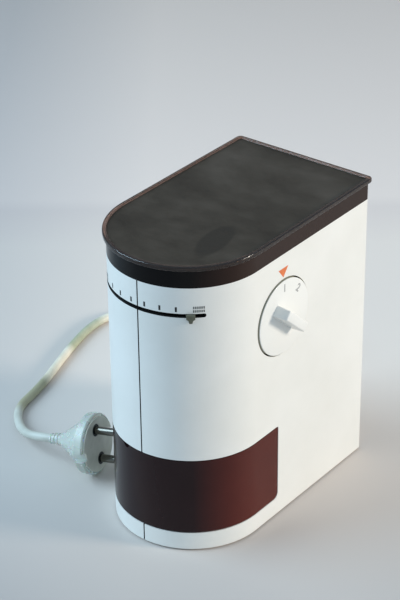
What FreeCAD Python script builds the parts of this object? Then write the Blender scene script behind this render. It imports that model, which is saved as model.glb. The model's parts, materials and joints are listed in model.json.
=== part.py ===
# Electric coffee grinder with a wrap-around drawer, a bean hopper under a smoked lid, disc burrs,
# a geared motor, a timer dial and a mains lead. Millimetres, +Z up, the front faces -Y.
# The origin is on the table, midway across the casing and midway along its depth.
import FreeCAD, Part
import math
import os
from types import SimpleNamespace

import Sketcher
from FreeCAD import Placement, Rotation, Vector

# Driving sizes
SIZES = {
    # casing
    "body_width": 90.0,
    "body_depth": 151.0,
    "wall": 2.5,
    "rear_corner": 1.2,
    "seam_gap": 0.4,
    "ledge_reach": 2.0,
    "ledge_rise": 2.0,
    "running_gap": 0.3,
    "overrun": 6.0,
    # foot and base plate
    "foot_height": 1.2,
    "foot_inset": 6.0,
    "foot_band": 4.0,
    "base_thick": 2.5,
    "post_radius": 4.5,
    "post_clearance": 0.8,
    "post_inset": 6.5,
    "rear_post_inset": 9.5,
    "screw_radius": 1.5,
    "screw_head_radius": 3.0,
    "screw_head_height": 1.2,
    "screw_length": 8.0,
    "runner_inset": 17.0,
    "runner_width": 2.5,
    "runner_length": 38.0,
    # casing screws, across the body
    "boss_radius": 4.5,
    "boss_inset": 6.5,
    "low_boss_z": 40.0,
    "high_boss_drop": 19.0,
    "cross_head_radius": 3.2,
    "cross_head_height": 2.2,
    "cross_head_depth": 5.0,
    "cross_screw_length": 62.0,
    # cooling slots in the rear wall
    "vent_start": 8.0,
    "vent_length": 26.0,
    "vent_height": 2.0,
    "vent_pitch": 6.0,
    "vent_low_z": 62.0,
    # drawer
    "drawer_low": 12.6,
    "drawer_rise": 47.7,
    "drawer_length": 65.6,
    "drawer_wall": 2.4,
    "drawer_heel": 3.5,
    "drawer_shoulder": 1.0,
    "shelf_thick": 1.2,
    # hopper and lid
    "band_rise": 10.6,
    "band_wall": 2.2,
    "tray_drop": 2.0,
    "tray_rise": 1.2,
    "hopper_room": 13.6,
    "funnel_radius": 40.0,
    "funnel_wall": 1.6,
    "throat_radius": 9.5,
    "funnel_foot_drop": 12.0,
    "throat_drop": 19.5,
    "lid_overhang": 1.9,
    "lid_edge": 2.9,
    "lid_lip": 1.9,
    "lid_recess": 1.0,
    "lid_skirt": 5.0,
    "lid_skirt_wall": 1.5,
    "lid_round": 0.7,
    # decks
    "deck_room": 1.5,
    "deck_thick": 3.0,
    "cover_room": 1.5,
    "cover_thick": 2.5,
    # burr chamber and chute
    "chamber_room": 6.0,
    "chamber_wall": 2.2,
    "chamber_floor": 2.2,
    "outlet_half": 7.5,
    "outlet_rise": 7.3,
    "chute_wall": 1.4,
    "chute_inset": 4.2,
    "chute_apart": 2.0,
    "chute_depth": 8.8,
    "bush_radius": 7.0,
    "spindle_radius": 4.0,
    "bearing_gap": 0.04,
    "spindle_drop": 5.5,
    "clip_thick": 1.0,
    "clip_radius": 6.0,
    "clip_groove": 1.0,
    # burrs
    "hub_gap": 0.4,
    "hub_thick": 2.1,
    "hub_collar": 8.0,
    "burr_radius": 24.0,
    "lower_burr_thick": 4.5,
    "burr_gap": 1.0,
    "upper_burr_thick": 6.0,
    "burr_bore": 12.5,
    "burr_groove_width": 1.6,
    "burr_groove_depth": 1.2,
    "burr_groove_skew": 5.0,
    "burr_groove_count": 16.0,
    "sweeper_wall": 1.2,
    "sweeper_gap": 0.5,
    "sweeper_rise": 5.6,
    "sweeper_blade": 2.0,
    "feed_rise": 13.0,
    "feed_low_radius": 7.5,
    "feed_high_radius": 5.2,
    "feed_fin_reach": 11.5,
    "feed_fin_rise": 5.0,
    "feed_fin_thick": 1.6,
    "carrier_rise": 15.0,
    "carrier_room": 1.7,
    "burr_screw_radius": 1.2,
    "burr_screw_ring": 18.0,
    "burr_screw_head": 2.3,
    "burr_screw_head_height": 1.3,
    "burr_screw_length": 10.0,
    # adjusting ring and slider
    "ring_gap": 0.3,
    "ring_rise": 7.4,
    "ring_inner": 13.0,
    "ring_outer": 25.0,
    "dog_radius": 1.5,
    "dog_ring": 20.0,
    "dog_length": 7.0,
    "dog_play": 1.5,
    "slot_rise": 4.5,
    "slot_height": 1.8,
    "slot_angle": 97.4,
    "slider_angle": 38.5,
    "blade_thick": 1.2,
    "blade_width": 4.0,
    "tab_half": 2.4,
    "tab_above": 1.1,
    "tab_below": 1.0,
    "tab_point": 3.6,
    "tab_point_half": 0.9,
    "tab_thick": 1.8,
    # gears
    "gear_module": 1.0,
    "gear_teeth": 60.0,
    "pinion_teeth": 20.0,
    "gear_room": 2.2,
    "gear_face": 5.6,
    "gear_backlash": 0.16,
    "gear_web": 2.0,
    "gear_rim": 4.0,
    "gear_hub": 9.0,
    "pinion_proud": 0.5,
    # motor
    "shaft_radius": 3.0,
    "shaft_tail": 3.0,
    "shaft_tip": 0.8,
    "coil_room": 0.4,
    "stack_rise": 17.2,
    "stator_half": 28.0,
    "stator_corner": 5.0,
    "stator_bore": 19.0,
    "air_gap": 0.6,
    "pole_window": 24.4,
    "pole_window_angle": 72.0,
    "coil_inset": 0.4,
    "coil_overhang": 5.0,
    "coil_span": 172.0,
    "coil_pole": 112.0,
    "core_slot_count": 12.0,
    "core_slot_width": 2.6,
    "core_slot_depth": 6.5,
    "winding_radius": 16.5,
    "winding_bore": 6.0,
    "winding_rise": 5.5,
    "commutator_room": 2.5,
    "commutator_rise": 7.5,
    "commutator_radius": 9.0,
    "fan_room": 1.1,
    "fan_disc": 1.2,
    "fan_rise": 6.0,
    "fan_radius": 20.0,
    "fan_hub": 6.0,
    "fan_blade": 1.2,
    "fan_blade_count": 9.0,
    "bearing_radius": 8.0,
    "leg_length": 29.2,
    "bracket_thick": 3.5,
    "bracket_half": 27.5,
    "bracket_depth": 18.4,
    "motor_post_x": 24.0,
    "motor_post_y": 15.0,
    "motor_post_radius": 3.4,
    "motor_screw_radius": 1.6,
    "holder_start": 11.0,
    "holder_length": 12.0,
    "holder_half": 4.0,
    "brush_half": 2.5,
    "brush_gap": 0.2,
    "brush_length": 11.0,
    # timer and dial
    "dial_rise": 15.7,
    "dial_radius": 22.5,
    "dial_gap": 0.8,
    "dial_sink": 2.3,
    "dial_proud": 1.0,
    "dial_round": 0.4,
    "grip_turn": 48.2,
    "grip_length": 24.0,
    "grip_width": 7.0,
    "grip_rise": 9.0,
    "grip_draft": 3.8,
    "grip_round": 0.8,
    "timer_shaft_radius": 3.0,
    "timer_depth": 12.4,
    "timer_clearance": 0.6,
    "timer_apart": 2.871,
    "timer_front": 9.7,
    "timer_back": 15.3,
    "timer_rise": 31.2,
    "timer_wall": 1.6,
    "cam_radius": 7.0,
    "cam_start": 4.5,
    "cam_thick": 3.0,
    "switch_rise": 6.3,
    "switch_length": 12.0,
    "switch_width": 6.0,
    # electrical pieces by the rear wall
    "capacitor_radius": 7.0,
    "capacitor_side": 19.0,
    "capacitor_inset": 20.5,
    "capacitor_rise": 34.0,
    "terminal_width": 26.0,
    "terminal_depth": 12.0,
    "terminal_rise": 14.0,
    "terminal_inset": 19.5,
    "clamp_inset": 10.0,
    "clamp_depth": 5.0,
    "clamp_width": 20.0,
    "clamp_rise": 13.5,
    "cord_x": -15.0,
    "cord_exit_z": 12.0,
    "relief_radius": 5.0,
    "relief_flange": 7.0,
    "relief_flange_thick": 1.6,
    "relief_end_radius": 3.7,
    "relief_length": 25.0,
    "relief_rib_count": 5.0,
    "relief_rib_depth": 0.7,
    "cord_radius": 2.7,
    # coil of cord behind the grinder
    "coil_x": -62.0,
    "coil_y": 132.0,
    "coil_radius": 36.5,
    "coil_pitch": 6.6,
    "coil_lift": 6.4,
    # plug
    "plug_apart": 20.8,
    "plug_y": -37.9,
    "plug_heading": 11.7,
    "plug_tilt": 8.9,
    "plug_radius": 18.5,
    "plug_rim": 6.5,
    "plug_shoulder": 16.0,
    "plug_neck": 4.0,
    "plug_cone": 23.5,
    "plug_length": 32.0,
    "plug_tail": 3.2,
    "plug_face_radius": 16.6,
    "plug_face_thick": 0.8,
    "plug_notch": 14.6,
    "plug_notch_half": 2.7,
    "pin_radius": 2.4,
    "pin_length": 19.0,
    "pin_pitch": 19.0,
    "pin_tip": 1.1,
}

VENT_COUNT = 6

# Shares chosen by hand
DEDENDUM_SHARE = 1.25
ADDENDUM_SHARE = 0.92
RUN_SHARE = 0.45
FRONT_POST_SHARES = (0.7143, 0.7013)

# Where the cord lies, points chosen by hand: from the strain relief to the coil,
# and from the coil to the plug
LEAD_ROUTE = [
    (-15.0, 100.5, 12.0),
    (-15.0, 109.5, 12.0),
    (-15.4, 121.5, 9.2),
    (-18.0, 133.5, 4.6),
]
RUN_ROUTE = [
    (-110.2, 137.2, 6.2),
    (-124.0, 133.3, 3.8),
    (-139.5, 131.5, 2.8),
    (-155.5, 126.5, 2.7),
    (-169.0, 116.5, 2.7),
    (-176.5, 101.0, 2.7),
    (-176.8, 82.0, 2.7),
    (-172.5, 60.0, 2.7),
    (-166.0, 36.5, 2.7),
    (-159.0, 13.0, 2.7),
    (-153.2, -3.5, 2.7),
    (-148.8, -15.0, 2.7),
    (-142.0, -25.8, 2.9),
    (-131.2, -35.2, 4.6),
    (-118.8, -43.4, 8.9),
]
COIL_END_RUN = 11.5
PLUG_END_RUN = 11.5

doc = FreeCAD.newDocument("coffee_grinder")
sheet = doc.addObject("Spreadsheet::Sheet", "sizes")
for row, (name, amount) in enumerate(SIZES.items(), start=1):
    sheet.set(f"A{row}", name)
    sheet.set(f"B{row}", str(amount))
    sheet.setAlias(f"B{row}", name)
doc.recompute()


class Size:
    """A length from the sheet, or a sum of them: its value now, and the formula that keeps it bound."""

    def __init__(self, value, formula):
        self.value = float(value)
        self.formula = formula

    def __add__(self, other):
        return Size(self.value + number(other), f"({self.formula} + {text(other)})")

    def __radd__(self, other):
        return Size(number(other) + self.value, f"({text(other)} + {self.formula})")

    def __sub__(self, other):
        return Size(self.value - number(other), f"({self.formula} - {text(other)})")

    def __rsub__(self, other):
        return Size(number(other) - self.value, f"({text(other)} - {self.formula})")

    def __mul__(self, other):
        return Size(self.value * number(other), f"({self.formula} * {text(other)})")

    __rmul__ = __mul__

    def __truediv__(self, other):
        return Size(self.value / number(other), f"({self.formula} / {text(other)})")

    def __neg__(self):
        return self * -1


def number(size):
    return size.value if isinstance(size, Size) else float(size)


def text(size):
    return size.formula if isinstance(size, Size) else str(size)


def other_leg(longest, leg):
    """The third side of a right-angled triangle, or none where the leg alone is long enough."""
    length = math.sqrt(max(longest.value**2 - leg.value**2, 0))
    square = f"{longest.formula} * {longest.formula} - {leg.formula} * {leg.formula}"
    return Size(length, f"({longest.formula} > {leg.formula} ? sqrt({square}) : 0 mm)")


S = SimpleNamespace(**{name: Size(sheet.get(name), f"sizes.{name}") for name in SIZES})

# Places that follow from the driving sizes
half_width = S.body_width / 2
front_y = -S.body_depth / 2
rear_y = S.body_depth / 2
arc_y = front_y + half_width
chamber_radius = S.burr_radius + S.chamber_room
chute_front = front_y + S.chute_inset
chute_rear = chute_front + S.chute_depth
burr_y = chute_rear + S.chute_apart + chamber_radius
motor_y = burr_y + S.gear_module * (S.gear_teeth + S.pinion_teeth) / 2
drawer_back = front_y + S.drawer_length
plate_inset = S.wall + S.running_gap
timer_x = half_width - S.wall - S.timer_clearance - S.timer_depth
dial_y = burr_y + other_leg(chamber_radius + S.timer_apart, timer_x) + S.timer_front
plug_x = -half_width - S.plug_apart

# Heights, stacked up from the foot
base_top = S.foot_height + S.base_thick
drawer_high = S.drawer_low + S.drawer_rise
shelf_low = drawer_high + S.running_gap + S.ledge_rise
shelf_top = shelf_low + S.shelf_thick
stack_low = shelf_top + S.coil_room + S.coil_overhang
stack_high = stack_low + S.stack_rise
fan_low = stack_high + S.coil_overhang + S.fan_room
deck_z = fan_low + S.fan_rise + S.deck_room
deck_top = deck_z + S.deck_thick
gear_z = deck_top + S.gear_room
gear_top = gear_z + S.gear_face
cover_z = gear_top + S.cover_room
cover_top = cover_z + S.cover_thick
chamber_floor_top = cover_top + S.chamber_floor
hub_low = chamber_floor_top + S.hub_gap
hub_top = hub_low + S.hub_thick
lower_burr_top = hub_top + S.lower_burr_thick
upper_burr_low = lower_burr_top + S.burr_gap
upper_burr_top = upper_burr_low + S.upper_burr_thick
carrier_top = upper_burr_top + S.carrier_rise
chamber_top = carrier_top + S.carrier_room
ring_low = chamber_top + S.ring_gap
ring_top = ring_low + S.ring_rise
slot_z = ring_low + S.slot_rise
casing_top = ring_top + S.hopper_room
band_top = casing_top + S.band_rise
bracket_low = stack_low - S.leg_length
bracket_top = bracket_low + S.bracket_thick
commutator_low = bracket_top + S.commutator_room
dial_z = cover_top + S.dial_rise

pieces = []


def keep(thing):
    """Marks an object as a finished piece, which gets a file of its own."""
    pieces.append(thing)
    return thing


def bind(thing, prop, size):
    if isinstance(size, Size):
        thing.setExpression(prop, size.formula)
    else:
        thing.setExpression(prop, None)


def place(thing, x=0, y=0, z=0, turn=None):
    thing.Placement = Placement(Vector(number(x), number(y), number(z)), turn or Rotation())
    for axis, size in zip("xyz", (x, y, z)):
        if isinstance(size, Size):
            thing.setExpression(f"Placement.Base.{axis}", size.formula)
    return thing


ALONG_X = Rotation(Vector(0, 1, 0), 90)
ALONG_Y = Rotation(Vector(1, 0, 0), -90)


def rod(name, radius, low, high, x=0, y=0):
    thing = doc.addObject("Part::Cylinder", name)
    bind(thing, "Radius", radius)
    bind(thing, "Height", high - low)
    return place(thing, x, y, low)


def rod_x(name, radius, start, end, y, z):
    thing = doc.addObject("Part::Cylinder", name)
    bind(thing, "Radius", radius)
    bind(thing, "Height", end - start)
    return place(thing, start, y, z, ALONG_X)


def rod_y(name, radius, start, end, x, z):
    thing = doc.addObject("Part::Cylinder", name)
    bind(thing, "Radius", radius)
    bind(thing, "Height", end - start)
    return place(thing, x, start, z, ALONG_Y)


def block(name, x, y, z):
    thing = doc.addObject("Part::Box", name)
    for prop, (start, end) in zip(("Length", "Width", "Height"), (x, y, z)):
        bind(thing, prop, end - start)
    return place(thing, x[0], y[0], z[0])


def fuse(name, *shapes):
    thing = doc.addObject("Part::MultiFuse", name)
    thing.Shapes = list(shapes)
    thing.Refine = True
    return thing


def group(name, *shapes):
    thing = doc.addObject("Part::Compound", name)
    thing.Links = list(shapes)
    return thing


def cut(name, base, *tools):
    thing = doc.addObject("Part::Cut", name)
    thing.Base = base
    thing.Tool = tools[0] if len(tools) == 1 else fuse(name + "_tools", *tools)
    return thing


def common(name, one, other):
    thing = doc.addObject("Part::Common", name)
    thing.Base = one
    thing.Tool = other
    return thing


# Outlines for sketches. Each is a start point and the steps after it: (x, y) is a line,
# (x, y, centre x, centre y) is an arc that turns left, and "right" after that turns it right.
def body_plan(inset, bend=S.rear_corner):
    """The body seen from above: a half circle at the front and rounded corners at the rear."""
    side = half_width - inset
    back = rear_y - inset
    return [
        (-side, arc_y),
        (side, arc_y, 0, arc_y),
        (side, back - bend),
        (side - bend, back, side - bend, back - bend),
        (bend - side, back),
        (-side, back - bend, bend - side, back - bend),
        (-side, arc_y),
    ]


def front_plan(inset, back):
    """The front of the body seen from above, cut off square at the back."""
    side = half_width - inset
    return [(-side, back), (-side, arc_y), (side, arc_y, 0, arc_y), (side, back), (-side, back)]


def across(near, far, side):
    """A stretch from near to far, on the right for a side of 1 and on the left for -1."""
    return (near, far) if side > 0 else (-far, -near)


def rectangle(x, y):
    return [(x[0], y[0]), (x[1], y[0]), (x[1], y[1]), (x[0], y[1]), (x[0], y[0])]


def circle(x, y, radius):
    return ("circle", x, y, radius)


def hold(sketch, geometry, vertex, x=None, y=None):
    for kind, size in (("DistanceX", x), ("DistanceY", y)):
        if size is None:
            continue
        rule = Sketcher.Constraint(kind, -1, 1, geometry, vertex, number(size))
        index = sketch.addConstraint(rule)
        if isinstance(size, Size):
            sketch.setExpression(f"Constraints[{index}]", size.formula)


def draw_circle(sketch, x, y, radius):
    middle = Vector(number(x), number(y), 0)
    geometry = sketch.addGeometry(Part.Circle(middle, Vector(0, 0, 1), number(radius)), False)
    hold(sketch, geometry, 3, x, y)
    index = sketch.addConstraint(Sketcher.Constraint("Radius", geometry, number(radius)))
    sketch.setExpression(f"Constraints[{index}]", text(radius))


def draw(sketch, outline):
    """Draws an outline, with every corner held by its two coordinates."""
    if outline[0] == "circle":
        draw_circle(sketch, *outline[1:])
        return
    corners = [tuple(number(size) for size in step[:2]) for step in outline]
    edges = []
    for here, there, step in zip(corners, corners[1:], outline[1:]):
        start = Vector(*here, 0)
        end = Vector(*there, 0)
        if len(step) == 2:
            edges.append((sketch.addGeometry(Part.LineSegment(start, end), False), 1, 2))
            continue
        middle = Vector(number(step[2]), number(step[3]), 0)
        turns_right = len(step) == 5
        first, last = (end, start) if turns_right else (start, end)
        angles = [math.atan2(tip.y - middle.y, tip.x - middle.x) for tip in (first, last)]
        if angles[1] <= angles[0]:
            angles[1] += 2 * math.pi
        ring = Part.Circle(middle, Vector(0, 0, 1), (start - middle).Length)
        geometry = sketch.addGeometry(Part.ArcOfCircle(ring, *angles), False)
        edges.append((geometry, 2, 1) if turns_right else (geometry, 1, 2))
        if abs(here[0] - there[0]) >= abs(here[1] - there[1]):
            hold(sketch, geometry, 3, y=step[3])
        else:
            hold(sketch, geometry, 3, x=step[2])
    for index, (geometry, first, last) in enumerate(edges):
        following = edges[(index + 1) % len(edges)]
        hold(sketch, geometry, first, *outline[index][:2])
        sketch.addConstraint(
            Sketcher.Constraint("Coincident", geometry, last, following[0], following[1])
        )


def new_sketch(body, name, role, offset, outlines):
    sketch = body.newObject("Sketcher::SketchObject", name)
    plane = [thing for thing in body.Origin.OriginFeatures if thing.Role == role][0]
    sketch.AttachmentSupport = [(plane, "")]
    sketch.MapMode = "FlatFace"
    if isinstance(offset, Size):
        sketch.AttachmentOffset = Placement(Vector(0, 0, offset.value), Rotation())
        sketch.setExpression("AttachmentOffset.Base.z", offset.formula)
    for outline in outlines:
        draw(sketch, outline)
    return sketch


def pad(body, name, low, high, *outlines, role="XY_Plane"):
    """Adds a prism to a body, from one height to another."""
    thing = body.newObject("PartDesign::Pad", name)
    thing.Profile = new_sketch(body, name + "_outline", role, low, outlines)
    bind(thing, "Length", high - low)
    body.Tip = thing
    return thing


def pocket(body, name, low, high, *outlines):
    """Cuts a prism out of a body, down from the upper height to the lower one."""
    thing = body.newObject("PartDesign::Pocket", name)
    thing.Profile = new_sketch(body, name + "_outline", "XY_Plane", high, outlines)
    bind(thing, "Length", high - low)
    body.Tip = thing
    return thing


def prism(name, low, high, *outlines, role="XY_Plane"):
    body = doc.addObject("PartDesign::Body", name)
    pad(body, name + "_pad", low, high, *outlines, role=role)
    return body


def turned(name, *outlines, x=0, y=burr_y, z=0, turn=None):
    """A body of revolution about an upright axis; its outlines are radius and height."""
    body = doc.addObject("PartDesign::Body", name)
    thing = body.newObject("PartDesign::Revolution", name + "_turn")
    thing.Profile = new_sketch(body, name + "_outline", "XZ_Plane", 0, outlines)
    thing.ReferenceAxis = (thing.Profile[0], ["V_Axis"])
    thing.Angle = 360
    body.Tip = thing
    place(body, x, y, z, turn)
    return body


def ring_profile(inner, outer, low, high):
    return [(inner, low), (outer, low), (outer, high), (inner, high), (inner, low)]


def sleeve(name, inner, outer, low, high, **where):
    return turned(name, ring_profile(inner, outer, low, high), **where)


def repeat(body, feature, count):
    """Repeats a feature around the body's upright axis."""
    pattern = body.newObject("PartDesign::PolarPattern", feature.Name + "_pattern")
    pattern.Originals = [feature]
    pattern.Axis = (feature.Profile[0], ["N_Axis"])
    pattern.Angle = 360
    pattern.Occurrences = int(number(count))
    body.Tip = pattern
    return pattern


def round_edges(body, name, radius, chosen):
    """Fillets the edges of a body for which chosen(edge) holds."""
    doc.recompute()
    base = body.Tip
    names = [f"Edge{i}" for i, edge in enumerate(base.Shape.Edges, start=1) if chosen(edge)]
    fillet = body.newObject("PartDesign::Fillet", name)
    fillet.Base = (base, names)
    bind(fillet, "Radius", radius)
    body.Tip = fillet
    return fillet


def level_edge(edge, height):
    box = edge.BoundBox
    return abs(box.ZMin - number(height)) < 1e-4 and abs(box.ZMax - number(height)) < 1e-4


def on_outline(edge, inset):
    """Whether an edge lies on the body's outline with this inset, seen from above."""
    middle = edge.valueAt((edge.FirstParameter + edge.LastParameter) / 2)
    side, back, bend = (number(size) for size in (half_width - inset, rear_y - inset, S.rear_corner))
    over_x = abs(middle.x) - (side - bend)
    over_y = middle.y - (back - bend)
    if middle.y < number(arc_y):
        apart = side - math.hypot(middle.x, middle.y - number(arc_y))
    elif over_x > 0 and over_y > 0:
        apart = bend - math.hypot(over_x, over_y)
    else:
        apart = min(side - abs(middle.x), back - middle.y)
    return abs(apart) < 1e-3


# Casing
post_reach = half_width - S.post_inset
post_places = [
    (side * x, y)
    for side in (-1, 1)
    for x, y in (
        (post_reach, rear_y - S.rear_post_inset),
        (post_reach * FRONT_POST_SHARES[0], arc_y - post_reach * FRONT_POST_SHARES[1]),
    )
]
boss_heights = (S.low_boss_z, casing_top - S.high_boss_drop)
boss_y = rear_y - S.boss_inset


def drawer_profile(gap):
    """The drawer's side view, y and z, grown by a gap at the back, above and below."""
    back = drawer_back + gap
    low = S.drawer_low - gap
    high = drawer_high + gap
    heel = S.drawer_heel + gap
    shoulder = S.drawer_shoulder + gap
    start = front_y - S.overrun
    return [
        (start, low),
        (back - heel, low),
        (back, low + heel, back - heel, low + heel),
        (back, high - shoulder),
        (back - shoulder, high, back - shoulder, high - shoulder),
        (start, high),
        (start, low),
    ]


def casing():
    shell = doc.addObject("PartDesign::Body", "casing_shell")
    pad(shell, "shell_wall", S.foot_height, casing_top, body_plan(0), body_plan(S.wall))
    for label, top in (("shelf", shelf_low), ("deck", deck_z), ("cover", cover_z)):
        ledge = (body_plan(S.wall / 2), body_plan(S.wall + S.ledge_reach))
        pad(shell, label + "_ledge", top - S.ledge_rise, top, *ledge)
    boss_reach = half_width - S.wall / 2
    bosses = [
        rod_x(f"boss_{i}", S.boss_radius, -boss_reach, boss_reach, boss_y, z)
        for i, z in enumerate(boss_heights)
    ]
    posts = [
        rod(f"post_{i}", S.post_radius, base_top, S.drawer_low - S.post_clearance, x, y)
        for i, (x, y) in enumerate(post_places)
    ]
    solid = fuse("casing_solid", shell, *bosses, *posts)

    bay = prism(
        "drawer_bay",
        -half_width - S.overrun,
        half_width + S.overrun,
        drawer_profile(S.running_gap),
        role="YZ_Plane",
    )
    slot = doc.addObject("Part::Cylinder", "slider_slot")
    bind(slot, "Radius", half_width + S.overrun)
    bind(slot, "Height", S.slot_height)
    bind(slot, "Angle", S.slot_angle)
    start_turn = Rotation(Vector(0, 0, 1), -90 - number(S.slot_angle) / 2)
    place(slot, 0, arc_y, slot_z - S.slot_height / 2, start_turn)
    dial_hole = rod_x(
        "dial_hole",
        S.dial_radius + S.dial_gap,
        half_width - S.wall - S.overrun,
        half_width + S.overrun,
        dial_y,
        dial_z,
    )
    through_rear = (rear_y - S.wall - S.ledge_reach, rear_y + S.overrun)
    cord_hole = rod_y("cord_hole", S.relief_radius, *through_rear, S.cord_x, S.cord_exit_z)
    beside_chute = S.outlet_half + S.chute_wall + S.running_gap
    chute_notch = block(
        "chute_notch",
        (-beside_chute, beside_chute),
        (chute_front - S.running_gap, chute_rear),
        (drawer_high, cover_z),
    )
    cutters = [bay, slot, dial_hole, cord_hole, chute_notch]
    for level in range(VENT_COUNT):
        low = S.vent_low_z + S.vent_pitch * level
        for label, side in (("left", -1), ("right", 1)):
            reach = across(S.vent_start, S.vent_start + S.vent_length, side)
            cutters.append(block(f"vent_{level}_{label}", reach, through_rear, (low, low + S.vent_height)))
    screw_tip = S.foot_height + S.screw_length
    for i, (x, y) in enumerate(post_places):
        cutters.append(rod(f"post_hole_{i}", S.screw_radius, S.foot_height, screw_tip, x, y))
    head_seat = S.cross_head_depth - half_width
    head_hole = S.cross_head_radius + S.running_gap
    for i, z in enumerate(boss_heights):
        cutters.append(rod_x(f"boss_hole_{i}", S.screw_radius, -half_width, cross_tip(), boss_y, z))
        cutters.append(rod_x(f"head_hole_{i}", head_hole, -half_width - S.overrun, head_seat, boss_y, z))
    whole = cut("casing_whole", solid, *cutters)
    depth = (front_y - S.overrun, rear_y + S.overrun)
    rise = (0, casing_top + S.overrun)
    side = half_width + S.overrun
    left_cutter = block("left_half", (-side, S.seam_gap / 2), depth, rise)
    right_cutter = block("right_half", (-S.seam_gap / 2, side), depth, rise)
    keep(cut("casing_right", whole, left_cutter))
    keep(cut("casing_left", whole, right_cutter))

    screws = []
    head_end = head_seat - S.cross_head_height
    for i, z in enumerate(boss_heights):
        shank = rod_x(f"cross_shank_{i}", S.screw_radius, head_seat, cross_tip(), boss_y, z)
        head = rod_x(f"cross_head_{i}", S.cross_head_radius, head_end, head_seat, boss_y, z)
        screws.append(fuse(f"cross_screw_{i}", head, shank))
    keep(group("casing_screws", *screws))


def cross_tip():
    return S.cross_head_depth - half_width + S.cross_screw_length


def base():
    plate = doc.addObject("PartDesign::Body", "base_plate_blank")
    holes = [circle(x, y, S.screw_radius) for x, y in post_places]
    pad(plate, "base_sheet", S.foot_height, base_top, body_plan(plate_inset), *holes)
    runner_back = drawer_back - S.drawer_wall
    runner_depth = (runner_back - S.runner_length, runner_back)
    for label, side in (("left", -1), ("right", 1)):
        x = (half_width - S.runner_inset) * side
        runner = rectangle((x - S.runner_width / 2, x + S.runner_width / 2), runner_depth)
        pad(plate, f"runner_{label}", base_top, S.drawer_low - S.running_gap, runner)
    head_top = S.foot_height + S.screw_head_height
    head_room = S.screw_head_radius + S.running_gap
    seats = [
        rod(f"head_seat_{i}", head_room, 0, head_top, x, y) for i, (x, y) in enumerate(post_places)
    ]
    keep(cut("base_plate", plate, *seats))
    screws = []
    for i, (x, y) in enumerate(post_places):
        head = rod(f"base_head_{i}", S.screw_head_radius, S.foot_height, head_top, x, y)
        shank = rod(f"base_shank_{i}", S.screw_radius, head_top, S.foot_height + S.screw_length, x, y)
        screws.append(fuse(f"base_screw_{i}", head, shank))
    keep(group("base_screws", *screws))
    inner = S.foot_inset + S.foot_band
    keep(
        prism(
            "foot_ring",
            0,
            S.foot_height,
            body_plan(S.foot_inset, S.foot_band * 2),
            body_plan(inner, S.foot_band),
        )
    )


def drawer():
    outer = prism("drawer_outer", S.drawer_low, drawer_high, front_plan(0, drawer_back))
    side = prism("drawer_side", -half_width, half_width, drawer_profile(0), role="YZ_Plane")
    shape = common("drawer_block", outer, side)
    hollow = prism(
        "drawer_hollow",
        S.drawer_low + S.drawer_wall,
        drawer_high + S.overrun,
        front_plan(S.drawer_wall, drawer_back - S.drawer_wall),
    )
    keep(cut("drawer", shape, hollow))
    chute_hole = rectangle(
        (-S.outlet_half - S.chute_wall, S.outlet_half + S.chute_wall),
        (chute_front, chute_rear),
    )
    keep(
        prism(
            "drawer_shelf",
            shelf_low,
            shelf_low + S.shelf_thick,
            front_plan(plate_inset, drawer_back),
            chute_hole,
        )
    )


def hopper():
    tray_low = casing_top - S.tray_drop
    tray_top = casing_top + S.tray_rise
    tray = doc.addObject("PartDesign::Body", "hopper_tray")
    pad(tray, "hopper_band", casing_top, band_top, body_plan(0))
    pad(tray, "hopper_spigot", tray_low, casing_top, body_plan(plate_inset))
    pocket(tray, "hopper_well", tray_top, band_top, body_plan(S.band_wall))
    funnel_foot = casing_top - S.funnel_foot_drop
    throat_end = casing_top - S.throat_drop
    throat_outer = S.throat_radius + S.funnel_wall
    funnel_inner = S.funnel_radius - S.funnel_wall
    outside = turned(
        "funnel_outside",
        [
            (0, throat_end),
            (throat_outer, throat_end),
            (throat_outer, funnel_foot - S.funnel_wall),
            (S.funnel_radius, tray_low),
            (S.funnel_radius, tray_top),
            (0, tray_top),
            (0, throat_end),
        ],
    )
    inside = turned(
        "funnel_inside",
        [
            (0, throat_end - S.overrun),
            (S.throat_radius, throat_end - S.overrun),
            (S.throat_radius, funnel_foot),
            (funnel_inner, casing_top),
            (funnel_inner, tray_top + S.overrun),
            (0, tray_top + S.overrun),
            (0, throat_end - S.overrun),
        ],
    )
    funnel_room = prism("funnel_room", throat_end - S.overrun, band_top, body_plan(plate_inset))
    hollow_room = prism("hollow_room", throat_end - S.overrun, band_top, body_plan(plate_inset))
    outside = common("funnel_wall", outside, funnel_room)
    inside = common("funnel_hollow", inside, hollow_room)
    keep(cut("hopper", fuse("hopper_solid", tray, outside), inside))


def lid():
    cover = doc.addObject("PartDesign::Body", "lid")
    lid_top = band_top + S.lid_edge
    pad(cover, "lid_plate", band_top, lid_top, body_plan(-S.lid_overhang))
    skirt = S.band_wall + S.running_gap
    skirt_plans = (body_plan(skirt), body_plan(skirt + S.lid_skirt_wall))
    pad(cover, "lid_skirt_ring", band_top - S.lid_skirt, band_top, *skirt_plans)
    pocket(cover, "lid_panel", lid_top - S.lid_recess, lid_top, body_plan(S.lid_lip - S.lid_overhang))

    def rim_edge(edge):
        level = level_edge(edge, lid_top) or level_edge(edge, band_top)
        return level and on_outline(edge, -S.lid_overhang)

    round_edges(cover, "lid_rim_round", S.lid_round, rim_edge)
    keep(cover)


def decks():
    chute_hole = rectangle(
        (-S.outlet_half - S.chute_wall, S.outlet_half + S.chute_wall),
        (chute_front, chute_rear),
    )
    bush_hole = circle(0, burr_y, S.bush_radius)
    bearing_hole = circle(0, motor_y, S.bearing_radius)
    screw_holes = [circle(x, y, S.motor_screw_radius) for x, y in motor_posts()]
    plan = (body_plan(plate_inset), chute_hole, bush_hole)
    keep(prism("motor_deck", deck_z, deck_top, *plan, bearing_hole, *screw_holes))
    keep(prism("gear_cover", cover_z, cover_top, *plan))


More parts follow.
